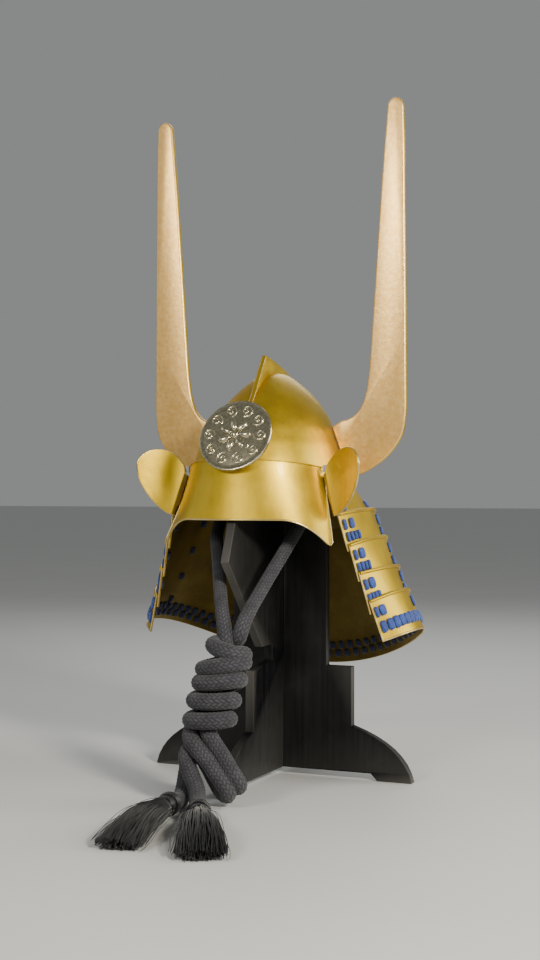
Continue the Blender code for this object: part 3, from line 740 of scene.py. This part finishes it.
around = 144
levels = smooth(BOWL_LEVELS, 64)[::-1][1:]
turn = [2 * math.pi * i / around for i in range(around)]
rows = [[(w * math.sin(a), c + l * math.cos(a), h) for a in turn] for h, w, l, c in levels]
points, faces = grid(rows, wrap=True)
points.append((0, BOWL_LEVELS[-1][3], BOWL_LEVELS[-1][0]))
faces += [(len(points) - 1, i, (i + 1) % around) for i in range(around)]
bowl = face_outwards(mesh_piece("bowl_shell", points, faces, gold_lacquer, shaded_inner_gold))
declare(shade(bake(walls(bowl)), 50), "gold_paint", "bowl")

# %% Keel
KEEL_THICK = 6.5
KEEL_FRONT = [(-141, 478), (-124, 497), (-101, 524), (-80, 555), (-59, 586)]
KEEL_REAR = [(-59, 586), (-46, 583.5), (-29, 579.5), (-9, 574.5), (24, 562.5), (50, 538), (68, 500),
             (77.5, 455), (80, 428)]


def bowl_level(height):
    """Half width, half length and centre of the bowl at a height."""
    fine = smooth(BOWL_LEVELS, 181)
    return [np.interp(height, fine[:, 0], fine[:, i]) for i in (1, 2, 3)]


def plank(name, outline, low, high, finish, bevel, plane="XZ", segments=3):
    """A board cut to an outline, with rounded edges; plane YZ has its thickness along X."""
    at = (lambda u, w, t: (u, t, w)) if plane == "XZ" else (lambda u, w, t: (t, u, w))
    n = len(outline)
    points = [at(u, w, low) for u, w in outline] + [at(u, w, high) for u, w in outline]
    faces = [tuple(range(n)), tuple(range(2 * n - 1, n - 1, -1))]
    faces += [(i, i + n, (i + 1) % n + n, (i + 1) % n) for i in range(n)]
    made = face_outwards(mesh_piece(name, points, faces, finish))
    edge = made.modifiers.new("edge", "BEVEL")
    edge.width = bevel * MM
    edge.segments = segments
    edge.limit_method = "ANGLE"
    edge.angle_limit = math.radians(50)
    return shade(bake(made), 40)


KEEL_LOW, KEEL_TOP, KEEL_BACK = 478, 562, 430  # where its foot starts, tops the bowl and ends
KEEL_SUNK = 1.0
foot = []
for way, heights in ((-1, np.linspace(KEEL_LOW, KEEL_TOP, 26)), (1, np.linspace(KEEL_TOP, KEEL_BACK, 34))):
    for height in heights:
        _, long, centre = bowl_level(height)
        foot.append((centre + way * long, height - KEEL_SUNK))
crest = [*smooth(KEEL_FRONT, 34)[:-1], *smooth(KEEL_REAR, 70)]
crest = [tuple(p) for p in crest if p[1] > KEEL_BACK + KEEL_SUNK]
keel = plank("keel_plate", crest + foot[::-1], -KEEL_THICK / 2, KEEL_THICK / 2, gold_lacquer, 0.9, "YZ")
declare(keel, "gold_paint", "bowl_keel")

# %% [markdown]
# ## Rolled edges
# The rims of the plates are rolled or bound, which gives the thin bright lines that outline the brow,
# the ears and the neck guard; most of these rims are also painted a paler gold, as a painted highlight.
# Geometry Nodes sweep a small round profile along an edge line, so one tree makes all of them; only
# the line, the radius and the finish change.

# %% Rolled edge tree
t, given, result = new_tree("rolled edge", Radius="float", Finish="material")
rim_tree = t
path = add(t, "GeometryNodeMeshToCurve", {"Mesh": given.outputs["Geometry"]})
ring = add(t, "GeometryNodeCurvePrimitiveCircle", {"Resolution": 8, "Radius": given.outputs["Radius"]})
swept = add(t, "GeometryNodeCurveToMesh", {"Curve": path, "Profile Curve": ring, "Fill Caps": True})
finish_tree(t, given, result, swept)


def rolled_edge(name, lines, radius, finish, slot="gold_paint"):
    """Rolled rims along one or more lines of points (millimetres)."""
    points, edges = [], []
    for line in lines:
        start = len(points)
        points += [tuple(c * MM for c in p) for p in line]
        edges += [(start + i, start + i + 1) for i in range(len(line) - 1)]
    mesh = bpy.data.meshes.new(name + " line")
    mesh.from_pydata(points, edges, [])
    made = grow(name, rim_tree, mesh, Radius=radius * MM, Finish=finish)
    return declare(face_outwards(shade(made, 80)), slot)


# %% Keel edges
keel_line = smooth(KEEL_FRONT, 60)[:-1]
keel_lines = [[(side * (KEEL_THICK / 2 - 0.5), y, z) for y, z in keel_line] for side in (-1, 1)]
rolled_edge("keel_edges", keel_lines, 0.7, highlight_edge_gold)

# %% [markdown]
# ## The brow plate
# The brow plate hangs from the bowl's front and flares forwards like the peak of a cap. Its lower edge
# is a shallow arc in front that drops at each side to a rounded corner beside the ears.


# %% Brow plate
TOP_TURN, TOP_WIDE, TOP_LONG, TOP_Y, TOP_Z, TOP_DROP = 70, 105.8, 121.2, -42, 441, 11
FOOT_TURN, FOOT_RADIUS, FOOT_Y, FOOT_Z = 49.5, 162, -11, 361.5
SIDE_DROP, DROP_START, CORNER, FLARE = 39.0, 24, 9, 1.25
CORNER_AT = 0.86  # share of the drop at which the corner starts to round off


def visor_edge(s):
    """A point of the brow plate's lower edge; s runs from -1 to 1 across the front."""
    turn = math.radians(FOOT_TURN) * s
    t = max(0.0, (abs(s) * FOOT_TURN - DROP_START) / (FOOT_TURN - DROP_START))
    q = max(0.0, (t - CORNER_AT) / (1 - CORNER_AT))
    drop = SIDE_DROP * t * t - CORNER * (1 - math.sqrt(max(0.0, 1 - q * q)))
    return FOOT_RADIUS * math.sin(turn), FOOT_Y - FOOT_RADIUS * math.cos(turn), FOOT_Z - drop


rows, across, down = [], 120, 20
for k in range(down + 1):
    v = k / down
    row = []
    for i in range(across + 1):
        s = -1 + 2 * i / across
        turn = math.radians(TOP_TURN) * s
        top = (TOP_WIDE * math.sin(turn), TOP_Y - TOP_LONG * math.cos(turn), TOP_Z - TOP_DROP * s * s)
        low = visor_edge(s)
        flare = v ** FLARE
        row.append((top[0] + (low[0] - top[0]) * flare, top[1] + (low[1] - top[1]) * flare,
                    top[2] + (low[2] - top[2]) * v))
    rows.append(row)
visor = mesh_piece("brow_plate", *grid(rows), gold_lacquer, shaded_inner_gold)
declare(shade(bake(walls(visor)), 50), "gold_paint", "visor")
rim = [row[0] for row in rows[3:]] + rows[-1][1:-1] + [row[-1] for row in rows[:2:-1]]
rolled_edge("brow_rim", [rim], 1.2, highlight_edge_gold)
rolled_edge("brow_seam", [[(x * 1.003, y * 1.003, z) for x, y, z in rows[0]]], 0.75, gold_lacquer)

# %% [markdown]
# ## The neck guard
# Five curved plates hang one below another. Each is a ruled sheet: straight lines from a top edge to a
# foot edge, so Geometry Nodes can lay a flat grid and send each of its points to the right place
# between two curves. The top plate is made point by point instead, because its ends are folded back
# into the ears that frame the face.

# %% Plate edges
LAMES = [
    ((107, -30, 115, (103, -92), (421, 413, 413)), (132, 0, 113, (118.5, -98), (366, 365, 342))),
    ((133, 0, 115, (123, -96), (368, 374, 354)), (149, 0, 126, (134, -86.5), (319, 327, 292))),
    ((149.6, 0, 127.7, (136, -88), (327, 336.6, 304.6)), (167, 0, 138.6, (146.5, -79), (279, 286, 237.8))),
    ((167.4, 0, 141.3, (147.5, -81), (290, 296.5, 251.6)), (183, 0, 151, (160, -71), (235, 250, 190))),
    ((181.7, 0, 152.2, (159.5, -74), (252.5, 264.5, 209.4)), (205, 0, 170, (175, -64), (199.4, 212, 140))),
]


def edge_point(edge, u):
    """A point on a plate's edge; u is -1 at the left front corner, 0 at the rear, 1 at the right."""
    wide, centre, rear, (corner_x, corner_y), (z_front, z_side, z_rear) = edge
    last = math.pi - math.asin(corner_x / wide)
    turn = abs(u) * last
    long = rear if turn < math.pi / 2 else (corner_y - centre) / math.cos(last)
    if turn < math.pi / 2:
        z = z_side + (z_rear - z_side) * math.cos(turn) ** 2
    else:
        z = z_side + (z_front - z_side) * ((turn - math.pi / 2) / (last - math.pi / 2)) ** 2
    return math.copysign(wide * math.sin(turn), u), centre + long * math.cos(turn), z


def plate_point(number, u, v):
    """A point on plate 1 to 5: u goes round it, v from its top edge to its foot."""
    top, foot = (edge_point(edge, u) for edge in LAMES[number - 1])
    return Vector(top).lerp(Vector(foot), v)


# %% Ruled plate tree
t, given, result = new_tree("ruled plate", Across="int", Down="int", Top_Edge="object", Foot_Edge="object",
                            Finish="material")
plate_tree = t
flat = add(t, "GeometryNodeMeshGrid", {"Size X": 1.0, "Size Y": 1.0, "Vertices X": given.outputs["Across"],
                                       "Vertices Y": given.outputs["Down"]})
where = add(t, "ShaderNodeSeparateXYZ", {0: add(t, "GeometryNodeInputPosition")})
along = add(t, "ShaderNodeMath", {0: 0.5, 1: where.outputs[0]}, operation="SUBTRACT")
drop = add(t, "ShaderNodeMath", {0: 0.5, 1: where.outputs[1]}, operation="SUBTRACT")
ends = []
for title in ("Top Edge", "Foot Edge"):
    info = add(t, "GeometryNodeObjectInfo", {"Object": given.outputs[title]})
    ends.append(add(t, "GeometryNodeSampleCurve", {"Curves": info.outputs["Geometry"], "Factor": along},
                    mode="FACTOR").outputs["Position"])
ruled = add(t, "ShaderNodeMix", {0: drop, 4: ends[0], 5: ends[1]}, data_type="VECTOR").outputs[1]
bent = add(t, "GeometryNodeSetPosition", {"Geometry": flat.outputs[0], "Position": ruled})
finish_tree(t, given, result, bent)
print("plate tree has", len(t.nodes), "nodes")


# %% Plates 2 to 5
def edge_curve(name, edge, count=181):
    """A guide curve along a plate's edge, from the left front corner round the rear to the right."""
    data = bpy.data.curves.new(name, "CURVE")
    data.dimensions = "3D"
    spline = data.splines.new("POLY")
    spline.points.add(count - 1)
    for k, knot in enumerate(spline.points):
        knot.co = (*(Vector(edge_point(edge, -1 + 2 * k / (count - 1))) * MM), 1.0)
    made = bpy.data.objects.new(name, data)
    bpy.context.scene.collection.objects.link(made)
    return made


STEPS = [-1 + k / 60 for k in range(121)]
LIP_OUT, LIP_RADIUS, RIM_RADIUS = 1.4, 2.4, 1.35
for number in range(2, 6):
    guides = [edge_curve(f"guide_{k}", edge) for k, edge in enumerate(LAMES[number - 1])]
    plate = grow(f"neck_plate_{number}", plate_tree, None, Across=141, Down=13, Top_Edge=guides[0],
                 Foot_Edge=guides[1], Finish=gold_lacquer)
    for guide in guides:
        bpy.data.objects.remove(guide, do_unlink=True)
    plate.data.materials.append(shaded_inner_gold)
    # the grid may come out facing the axis
    outwards = sum(p.normal.x * p.center.x + p.normal.y * p.center.y for p in plate.data.polygons)
    if outwards < 0:
        plate.data.flip_normals()
    declare(shade(bake(walls(plate)), 50), "gold_paint", f"lame_{number}")
    lip = []
    for u in STEPS:
        point = plate_point(number, u, 0.0)
        lip.append(tuple(point + Vector((point.x, point.y, 0)).normalized() * LIP_OUT))
    rolled_edge(f"lip_{number}", [lip], LIP_RADIUS, gold_lacquer)
    sides = [[tuple(plate_point(number, s, v)) for v in np.linspace(0, 1, 9)] for s in (-1, 1)]
    if number == 5:
        sides = [sides[0] + [tuple(plate_point(5, u, 1.0)) for u in STEPS[1:-1]] + sides[1][::-1]]
    rolled_edge(f"rim_{number}", sides, RIM_RADIUS, highlight_edge_gold)

# %% Top plate and ears
EAR_TOP = [(105, 421), (106.5, 433), (117, 447), (128, 454.5), (140, 457), (152, 454), (160, 446),
           (163, 436)]
EAR_FOOT = [(120, 367), (124.5, 367.5), (131, 371), (140, 379), (149.5, 391), (157, 405), (161.5, 419),
            (163, 436)]
EAR_ROOT, EAR_WIDTH, EAR_Y = 105, 57, -94
EAR_SHOULDER, EAR_DROP = 421, 54  # the height where the ear leaves the plate, and how far its foot is below
EAR_LEAN, EAR_SWEEP, EAR_CURL = 7, 4, 26


def ear_point(x, z):
    """The ear sweeps outwards and then curls forwards; its foot leans forwards."""
    q = (x - EAR_ROOT) / EAR_WIDTH
    lean = EAR_LEAN * (EAR_SHOULDER - z) / EAR_DROP * max(0.0, 1 - q)
    return x, EAR_Y - EAR_SWEEP * q - EAR_CURL * q * q - lean, z


down, ear_columns = 18, 26
tops, feet = smooth(EAR_TOP, ear_columns)[1:], smooth(EAR_FOOT, ear_columns)[1:]
rows = []
for k in range(down + 1):
    v = k / down
    share = 0.5 + (v - 0.5) * 0.98  # the sheet stops just inside the ear's rolled rim
    right = [ear_point(*(a + (b - a) * share)) for a, b in zip(tops, feet)]
    rows.append([(-x, y, z) for x, y, z in right[::-1]] + [tuple(plate_point(1, u, v)) for u in STEPS] + right)
rows = [row[::-1] for row in rows]
# slots 3 and 4 are the ears' own, because they are gold on both faces
top_plate = mesh_piece("top_plate_with_ears", *grid(rows), gold_lacquer, shaded_inner_gold, gold_lacquer,
                       gold_lacquer)
width = len(rows[0])
for index, face in enumerate(top_plate.data.polygons):
    column = index % (width - 1)
    if column < ear_columns - 2 or column > width - ear_columns:
        face.material_index = 2
declare(shade(bake(walls(top_plate)), 50), "gold_paint", "lame_1_with_ears")
ear_lines = []
for sheet in (rows, [row[::-1] for row in rows]):
    ends = [row[-ear_columns:] for row in sheet]
    ear_lines.append(ends[0] + [row[-1] for row in ends[1:-1]] + ends[-1][::-1])
rolled_edge("ear_rims", ear_lines, 1.3, highlight_edge_gold)

# %% [markdown]
# ## Blue lacing
# The plates hang on flat braided silk laces. On the outside they show as short upright pads: a narrow
# and a wide one near each front edge, single ones further round, a bunch or a pair where they slip
# under the next plate, and a close row along the foot of the last plate. Inside, small knots show. One
# pad is shaped from a cube, and Geometry Nodes set it on every point of a table, turned to the surface.

# %% Lacing material
lace_silk, tree, shader = new_material("cobalt braided silk lace", Roughness=0.62, Sheen_Weight=0.35,
                                       Sheen_Roughness=0.4)
place = add(tree, "ShaderNodeTexCoord").outputs["Object"]
# the lace's own ribs are 0.5 mm apart, and drawn about 4 mm apart so that they show
ribs = add(tree, "ShaderNodeTexWave", {"Vector": place, "Scale": 100.0, "Distortion": 2.0, "Detail": 1.0},
           bands_direction="DIAGONAL")
# one lace differs from the next, over 14 mm
tone = add(tree, "ShaderNodeTexNoise", {"Vector": place, "Scale": 70.0, "Detail": 2.0})
base = laid(tree, "#12327A", "#1F4796", tone, 0.35, 0.65)
# painted shade: the grooves between the ribs are darkened to deep navy
dress(tree, shader, laid(tree, base, "#0E1F4A", ribs, 0.0, 0.6, first=0.45, last=0.0), (ribs, 0.5, 0.0007))
dark_lace, tree, shader = new_material("navy lace in shadow", Roughness=0.7, Sheen_Weight=0.2)
place = add(tree, "ShaderNodeTexCoord").outputs["Object"]
# 3 mm of lighter and darker thread
tone = add(tree, "ShaderNodeTexNoise", {"Vector": place, "Scale": 300.0, "Detail": 2.0})
dress(tree, shader, laid(tree, "#0E1430", "#1D2A58", tone, 0.3, 0.7))

# %% Lacing tree
t, given, result = new_tree("laces on points", Seed="int", Finish="material")
lace_tree = t
block = add(t, "GeometryNodeMeshCube", {"Size": (1, 1, 1), "Vertices X": 3, "Vertices Y": 2, "Vertices Z": 3})
pad = add(t, "GeometryNodeSubdivisionSurface", {"Mesh": block.outputs[0], "Level": 1})
out = add(t, "GeometryNodeInputNamedAttribute", {"Name": "out"}, data_type="FLOAT_VECTOR").outputs[0]
run = add(t, "GeometryNodeInputNamedAttribute", {"Name": "run"}, data_type="FLOAT_VECTOR").outputs[0]
size = add(t, "GeometryNodeInputNamedAttribute", {"Name": "size"}, data_type="FLOAT_VECTOR").outputs[0]
facing = add(t, "FunctionNodeAlignRotationToVector", {"Vector": out}, axis="Y")
turned_to = add(t, "FunctionNodeAlignRotationToVector", {"Rotation": facing, "Vector": run}, axis="Z",
                pivot_axis="Y")
vary = add(t, "FunctionNodeRandomValue", {0: (0.93, 1, 0.94), 1: (1.07, 1, 1.06),
                                          "Seed": given.outputs["Seed"]}, data_type="FLOAT_VECTOR").outputs[0]
scale = add(t, "ShaderNodeVectorMath", {0: size, 1: vary}, operation="MULTIPLY")
set_on = add(t, "GeometryNodeInstanceOnPoints", {"Points": given.outputs["Geometry"], "Instance": pad,
                                                 "Rotation": turned_to, "Scale": scale})
real = add(t, "GeometryNodeRealizeInstances", {"Geometry": set_on})
finish_tree(t, given, result, add(t, "GeometryNodeSetShadeSmooth", {"Geometry": real}))


def plate_frame(number, u, v, lift):
    """A place just off a plate, with the direction out of the plate and down it."""
    here = plate_point(number, u, v)
    run = (plate_point(number, u, 1.0) - plate_point(number, u, 0.0)).normalized()
    step = 0.004 if u < 0.99 else -0.004
    along = (plate_point(number, u + step, v) - here) * (1 if step > 0 else -1)
    out = along.cross(run).normalized()
    if out.x * here.x + out.y * here.y < 0:
        out = -out
    return here + out * lift, out, run


def lacing(name, table, finish):
    """Pads for rows of (plate, u, v, lift, width, height, thickness)."""
    mesh = bpy.data.meshes.new(name + " points")
    places = [plate_frame(n, u, v, lift) for n, u, v, lift, *_ in table]
    mesh.from_pydata([tuple(p * MM) for p, _, _ in places], [], [])
    sizes = [(w * MM, d * MM, h * MM) for *_, w, h, d in table]
    for title, values in (("out", [o for _, o, _ in places]), ("run", [r for _, _, r in places]),
                          ("size", sizes)):
        data = mesh.attributes.new(title, "FLOAT_VECTOR", "POINT").data
        data.foreach_set("vector", [c for value in values for c in value])
    return declare(grow(name, lace_tree, mesh, Seed=7, Finish=finish), "blue_lacing")


# %% Lacing tables
# Each kind of pad: its place down the plate, lift off the outer face, width, height and thickness
PADS = {"top plate": (0.72, 1.4, 12.0, 18.0, 4.6), "narrow": (0.30, 1.4, 6.5, 16.0, 4.6),
        "wide": (0.30, 1.4, 12.5, 16.0, 4.6), "in a bunch": (0.64, 1.6, 5.4, 14.0, 4.6),
        "in a pair": (0.64, 1.6, 10, 14.0, 4.6), "foot row": (0.68, 1.4, 11.0, 17.5, 5.0)}
# and of the knots inside
KNOTS = {"plain": (0.45, -SHEET - 1.0, 10.0, 12.0, 4.0), "upper": (0.62, -SHEET - 1.0, 9.5, 12.0, 3.6),
         "lower": (0.80, -SHEET - 1.0, 9.5, 12.0, 3.6)}
BUNCH, PAIR = (-11, -5, 1, 7), (0, 8)  # millimetres from the column towards the back
FRONT_INSET, SECOND_INSET = 5.5, 16.5  # from the front edge to the narrow and the wide column
FOOT_INSET, FOOT_STEP, KNOT_STEP = 9.0, 13.0, 14.0


def half_girth(number):
    """The distance round a plate, half way down it, from the middle of the back to a front edge."""
    walk = [plate_point(number, k / 100, 0.5) for k in range(101)]
    return sum((after - before).length for before, after in zip(walk, walk[1:]))


outside, inside = [], []
for number in range(1, 6):
    girth = half_girth(number)
    narrow, second = 1 - FRONT_INSET / girth, 1 - SECOND_INSET / girth
    for u in (0.0, 0.35, 0.68, narrow, second):
        for s in (-u, u) if u else (0.0,):
            if number == 1:
                if u != narrow:
                    outside.append((1, s, *PADS["top plate"]))
                continue
            outside.append((number, s, *PADS["narrow" if u == narrow else "wide"]))
            if number < 5 and u != narrow:
                kind, shifts = ("in a bunch", BUNCH) if u == second else ("in a pair", PAIR)
                for shift in shifts:
                    outside.append((number, s - shift / girth * (1 if s >= 0 else -1), *PADS[kind]))
            inside.append((number, s, *KNOTS["plain"]))
girth = half_girth(5)
count = int(girth / KNOT_STEP)
for k in range(-count, count + 1):
    u = k * KNOT_STEP / girth
    if abs(u) < 1 - 6 / girth:
        inside.append((5, u * 0.97, *KNOTS["upper"]))
        inside.append((5, u * 0.97 + KNOT_STEP / 2 / girth, *KNOTS["lower"]))
for k in range(int(girth / FOOT_STEP)):
    u = 1 - (FOOT_INSET + FOOT_STEP * k) / girth
    for s in (-u, u):
        outside.append((5, s, *PADS["foot row"]))
lacing("lacing_outside", outside, lace_silk)
lacing("lacing_inside", inside, dark_lace)

# %% [markdown]
# ## The badge
# A polished pewter disc leans back above the brow. Its gently domed face is a turned profile, and
# Geometry Nodes repeat the relief on it: a ring of large scrolls and the petals of a plain rosette.

# %% Pewter
pewter, tree, shader = new_material("polished cast pewter", Metallic=1.0, Roughness=0.2)
place = add(tree, "ShaderNodeTexCoord").outputs["Object"]
# cast grain of 4 mm
cast = add(tree, "ShaderNodeTexNoise", {"Vector": place, "Scale": 260.0, "Detail": 3.0})
hollow = add(tree, "ShaderNodeNewGeometry").outputs["Pointiness"]
base = laid(tree, "#AEA688", "#D8D0B2", cast, 0.35, 0.7)
dress(tree, shader, laid(tree, "#6A6450", base, hollow, 0.44, 0.52), (cast, 0.08, 0.0006))

# %% Badge disc
MEDAL_CENTRE = Vector((0, -154, 473))
MEDAL_LEAN = math.radians(25)
MEDAL_OUT = Vector((0, -math.cos(MEDAL_LEAN), math.sin(MEDAL_LEAN)))
PROFILE = [(2.6, 0), (2.5, 12), (2.2, 24), (1.6, 36), (0.9, 44), (0.4, 48.5), (0.7, 49.6), (0.4, 51.0),
           (-0.6, 51.5), (-3.6, 51.5), (-4, 51), (-4, 6.5), (-4, 6), (-7.2, 6), (-7.2, 0)]
badge = turned("badge_disc", MEDAL_CENTRE, MEDAL_OUT, PROFILE, pewter, 120)
declare(shade(badge, 40), "pewter", "medallion")

# %% Relief tree
t, given, result = new_tree("badge relief", Scrolls="int", Petals="int", Place="Vector", Turn="Vector",
                            Finish="material")
relief_tree = t
parts = []
scroll_line = add(t, "GeometryNodeCurveSpiral", {"Resolution": 16, "Rotations": 1.5, "Start Radius": 0.0006,
                                                 "End Radius": 0.0092, "Height": 0.0})
wire = add(t, "GeometryNodeCurvePrimitiveCircle", {"Resolution": 8, "Radius": 0.0015})
scroll = add(t, "GeometryNodeCurveToMesh", {"Curve": scroll_line, "Profile Curve": wire, "Fill Caps": True})
ball = add(t, "GeometryNodeMeshUVSphere", {"Segments": 20, "Rings": 12, "Radius": 0.001})
petal = add(t, "GeometryNodeTransform", {"Geometry": ball.outputs[0], "Scale": (9.0, 4.6, 3.2)})
for radius, count, shape, lift in ((0.0370, "Scrolls", scroll, 0.0014), (0.0150, "Petals", petal, 0.0024)):
    circle = add(t, "GeometryNodeCurvePrimitiveCircle", {"Resolution": given.outputs[count], "Radius": radius})
    outwards = add(t, "GeometryNodeInputPosition")
    stand = add(t, "FunctionNodeAlignRotationToVector", {"Vector": outwards}, axis="X")
    ring = add(t, "GeometryNodeInstanceOnPoints", {"Points": circle, "Instance": shape, "Rotation": stand})
    parts.append(add(t, "GeometryNodeTransform", {"Geometry": ring, "Translation": (0, 0, lift)}))
boss = add(t, "GeometryNodeTransform", {"Geometry": ball.outputs[0], "Scale": (5.6, 5.6, 3.4),
                                        "Translation": (0, 0, 0.0022)})
together = add(t, "GeometryNodeJoinGeometry")
for part in parts + [boss]:
    t.links.new(part.outputs[0], together.inputs[0])
finish_tree(t, given, result, together)
relief = grow("badge_relief", relief_tree, None, Scrolls=10, Petals=7,
              Place=tuple(MEDAL_CENTRE * MM), Turn=(math.pi / 2 - MEDAL_LEAN, 0.0, 0.0), Finish=pewter)
declare(shade(relief, 60), "pewter")

# %% [markdown]
# ## The horns
# The horns are cut from plank, painted champagne on their faces and plain gold round their edges.
# They stand in one plane across the bowl. The outline is two smooth curves and a rounded tip.

# %% Horn finish
horn_paint, tree, shader = new_material("champagne gold paint on wood", Metallic=0.6, Roughness=0.3)
place = add(tree, "ShaderNodeTexCoord").outputs["Object"]
# 5 mm mottling over wood grain 8 mm wide
mottle = add(tree, "ShaderNodeTexNoise", {"Vector": place, "Scale": 190.0, "Detail": 4.0})
grain = add(tree, "ShaderNodeTexNoise", {"Vector": add(tree, "ShaderNodeMapping", {
    "Vector": place, "Scale": (130, 130, 9)}), "Scale": 1.0, "Detail": 3.0})
horn_edge_highlight = add(tree, "ShaderNodeNewGeometry").outputs["Pointiness"]
base = laid(tree, "#DDAE60", "#E9C178", mottle, 0.36, 0.66)
base = laid(tree, base, "#D2A862", grain, 0.45, 0.7, last=0.4)
# painted highlight: the faces turn pale cream along their rounded edges
base = laid(tree, base, "#F3E0B4", horn_edge_highlight, 0.53, 0.6, last=0.6)
dress(tree, shader, base, (mottle, 0.2, 0.0006))

# %% Horns
HORN_THICK, HORN_Y, HORN_ROUNDING = 9.0, -14.0, 2.6
HORN_INNER = [(98, 496), (108, 498.5), (120, 506), (131, 524), (138, 560), (144, 640), (150.5, 735),
              (158, 840), (165, 922)]
HORN_OUTER = [(187.5, 922), (189, 860), (190.3, 700), (191, 563), (191, 512), (187, 480), (177, 461),
              (162, 444), (145, 432), (127, 422.5), (113, 419), (104, 419)]
inner, outer = smooth(HORN_INNER, 90), smooth(HORN_OUTER, 110)
low, high = inner[-1], outer[0]
reach = (high[0] - low[0]) / 2
tip = [((low[0] + high[0]) / 2 - reach * math.cos(a), (low[1] + high[1]) / 2 + reach * 1.1 * math.sin(a))
       for a in (math.pi * k / 18 for k in range(1, 18))]
seat = []
for z in np.linspace(419, 488, 16):
    wide, long, centre = bowl_level(z)
    seat.append((wide * math.sqrt(1 - ((HORN_Y - HORN_THICK / 2 - centre) / long) ** 2) + 0.8, z))
for side, sign in (("left", -1), ("right", 1)):
    outline = [(sign * x, z) for x, z in [*seat, *inner, *tip, *outer[:-1]]]
    horn = plank(f"horn_board_{side}", outline, HORN_Y - HORN_THICK / 2, HORN_Y + HORN_THICK / 2, horn_paint,
                 HORN_ROUNDING, segments=4)
    horn.data.materials.append(gold_lacquer)
    for face in horn.data.polygons:
        if abs(face.normal.y) < 0.45:
            face.material_index = 1
    declare(horn, "horn_gold", f"horn_{side}")

# %% [markdown]
# ## Steel and black wood
# The small brackets and tabs are brushed steel, and the stand is black-stained board whose vertical
# grain still shows as a faint sheen, with a painted highlight of grey along its sharp edges. Their CAD
# shapes are right as they are, so those nodes stay and only get these finishes.

# %% Steel and wood
brushed_steel, tree, shader = new_material("brushed steel", Metallic=1.0, Roughness=0.32)
place = add(tree, "ShaderNodeTexCoord").outputs["Object"]
# brush marks are finer than this in life; they are drawn 1.1 mm wide and 17 mm long so that they show
brush = add(tree, "ShaderNodeTexNoise", {"Vector": add(tree, "ShaderNodeMapping", {
    "Vector": place, "Scale": (900, 900, 60)}), "Scale": 1.0, "Detail": 2.0})
dress(tree, shader, laid(tree, "#9C9AA6", "#C9C8D4", brush), rough=(brush, 0.25, 0.42))

black_wood, tree, shader = new_material("black stained board", Roughness=0.42, Specular_IOR_Level=0.18)
place = add(tree, "ShaderNodeTexCoord").outputs["Object"]
# grain 4.5 mm wide and 140 mm long, and dust in patches of 22 mm
grain = add(tree, "ShaderNodeTexNoise", {"Vector": add(tree, "ShaderNodeMapping", {
    "Vector": place, "Scale": (220, 220, 7)}), "Scale": 1.0, "Detail": 4.0, "Distortion": 0.4})
dust = add(tree, "ShaderNodeTexNoise", {"Vector": place, "Scale": 45.0, "Detail": 4.0})
board_edge_highlight = add(tree, "ShaderNodeNewGeometry").outputs["Pointiness"]
base = laid(tree, "#030305", "#0D0E11", grain, 0.35, 0.7)
base = laid(tree, base, "#1B1D1F", dust, 0.5, 0.75, last=0.35)
# painted highlight: light grey along the board's sharp edges
base = laid(tree, base, "#7C7A74", board_edge_highlight, 0.53, 0.62, last=0.5)
dress(tree, shader, base, (grain, 0.3, 0.0008), rough=(grain, 0.34, 0.52))

FINISHES = {"stand_board": black_wood, "horn_bracket": brushed_steel, "ear_clip": brushed_steel}
for node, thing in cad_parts.items():
    for stem, finish in FINISHES.items():
        if node.startswith(stem):
            for slot in thing.material_slots:
                slot.material = finish
            print(node, "finished as", finish.name)
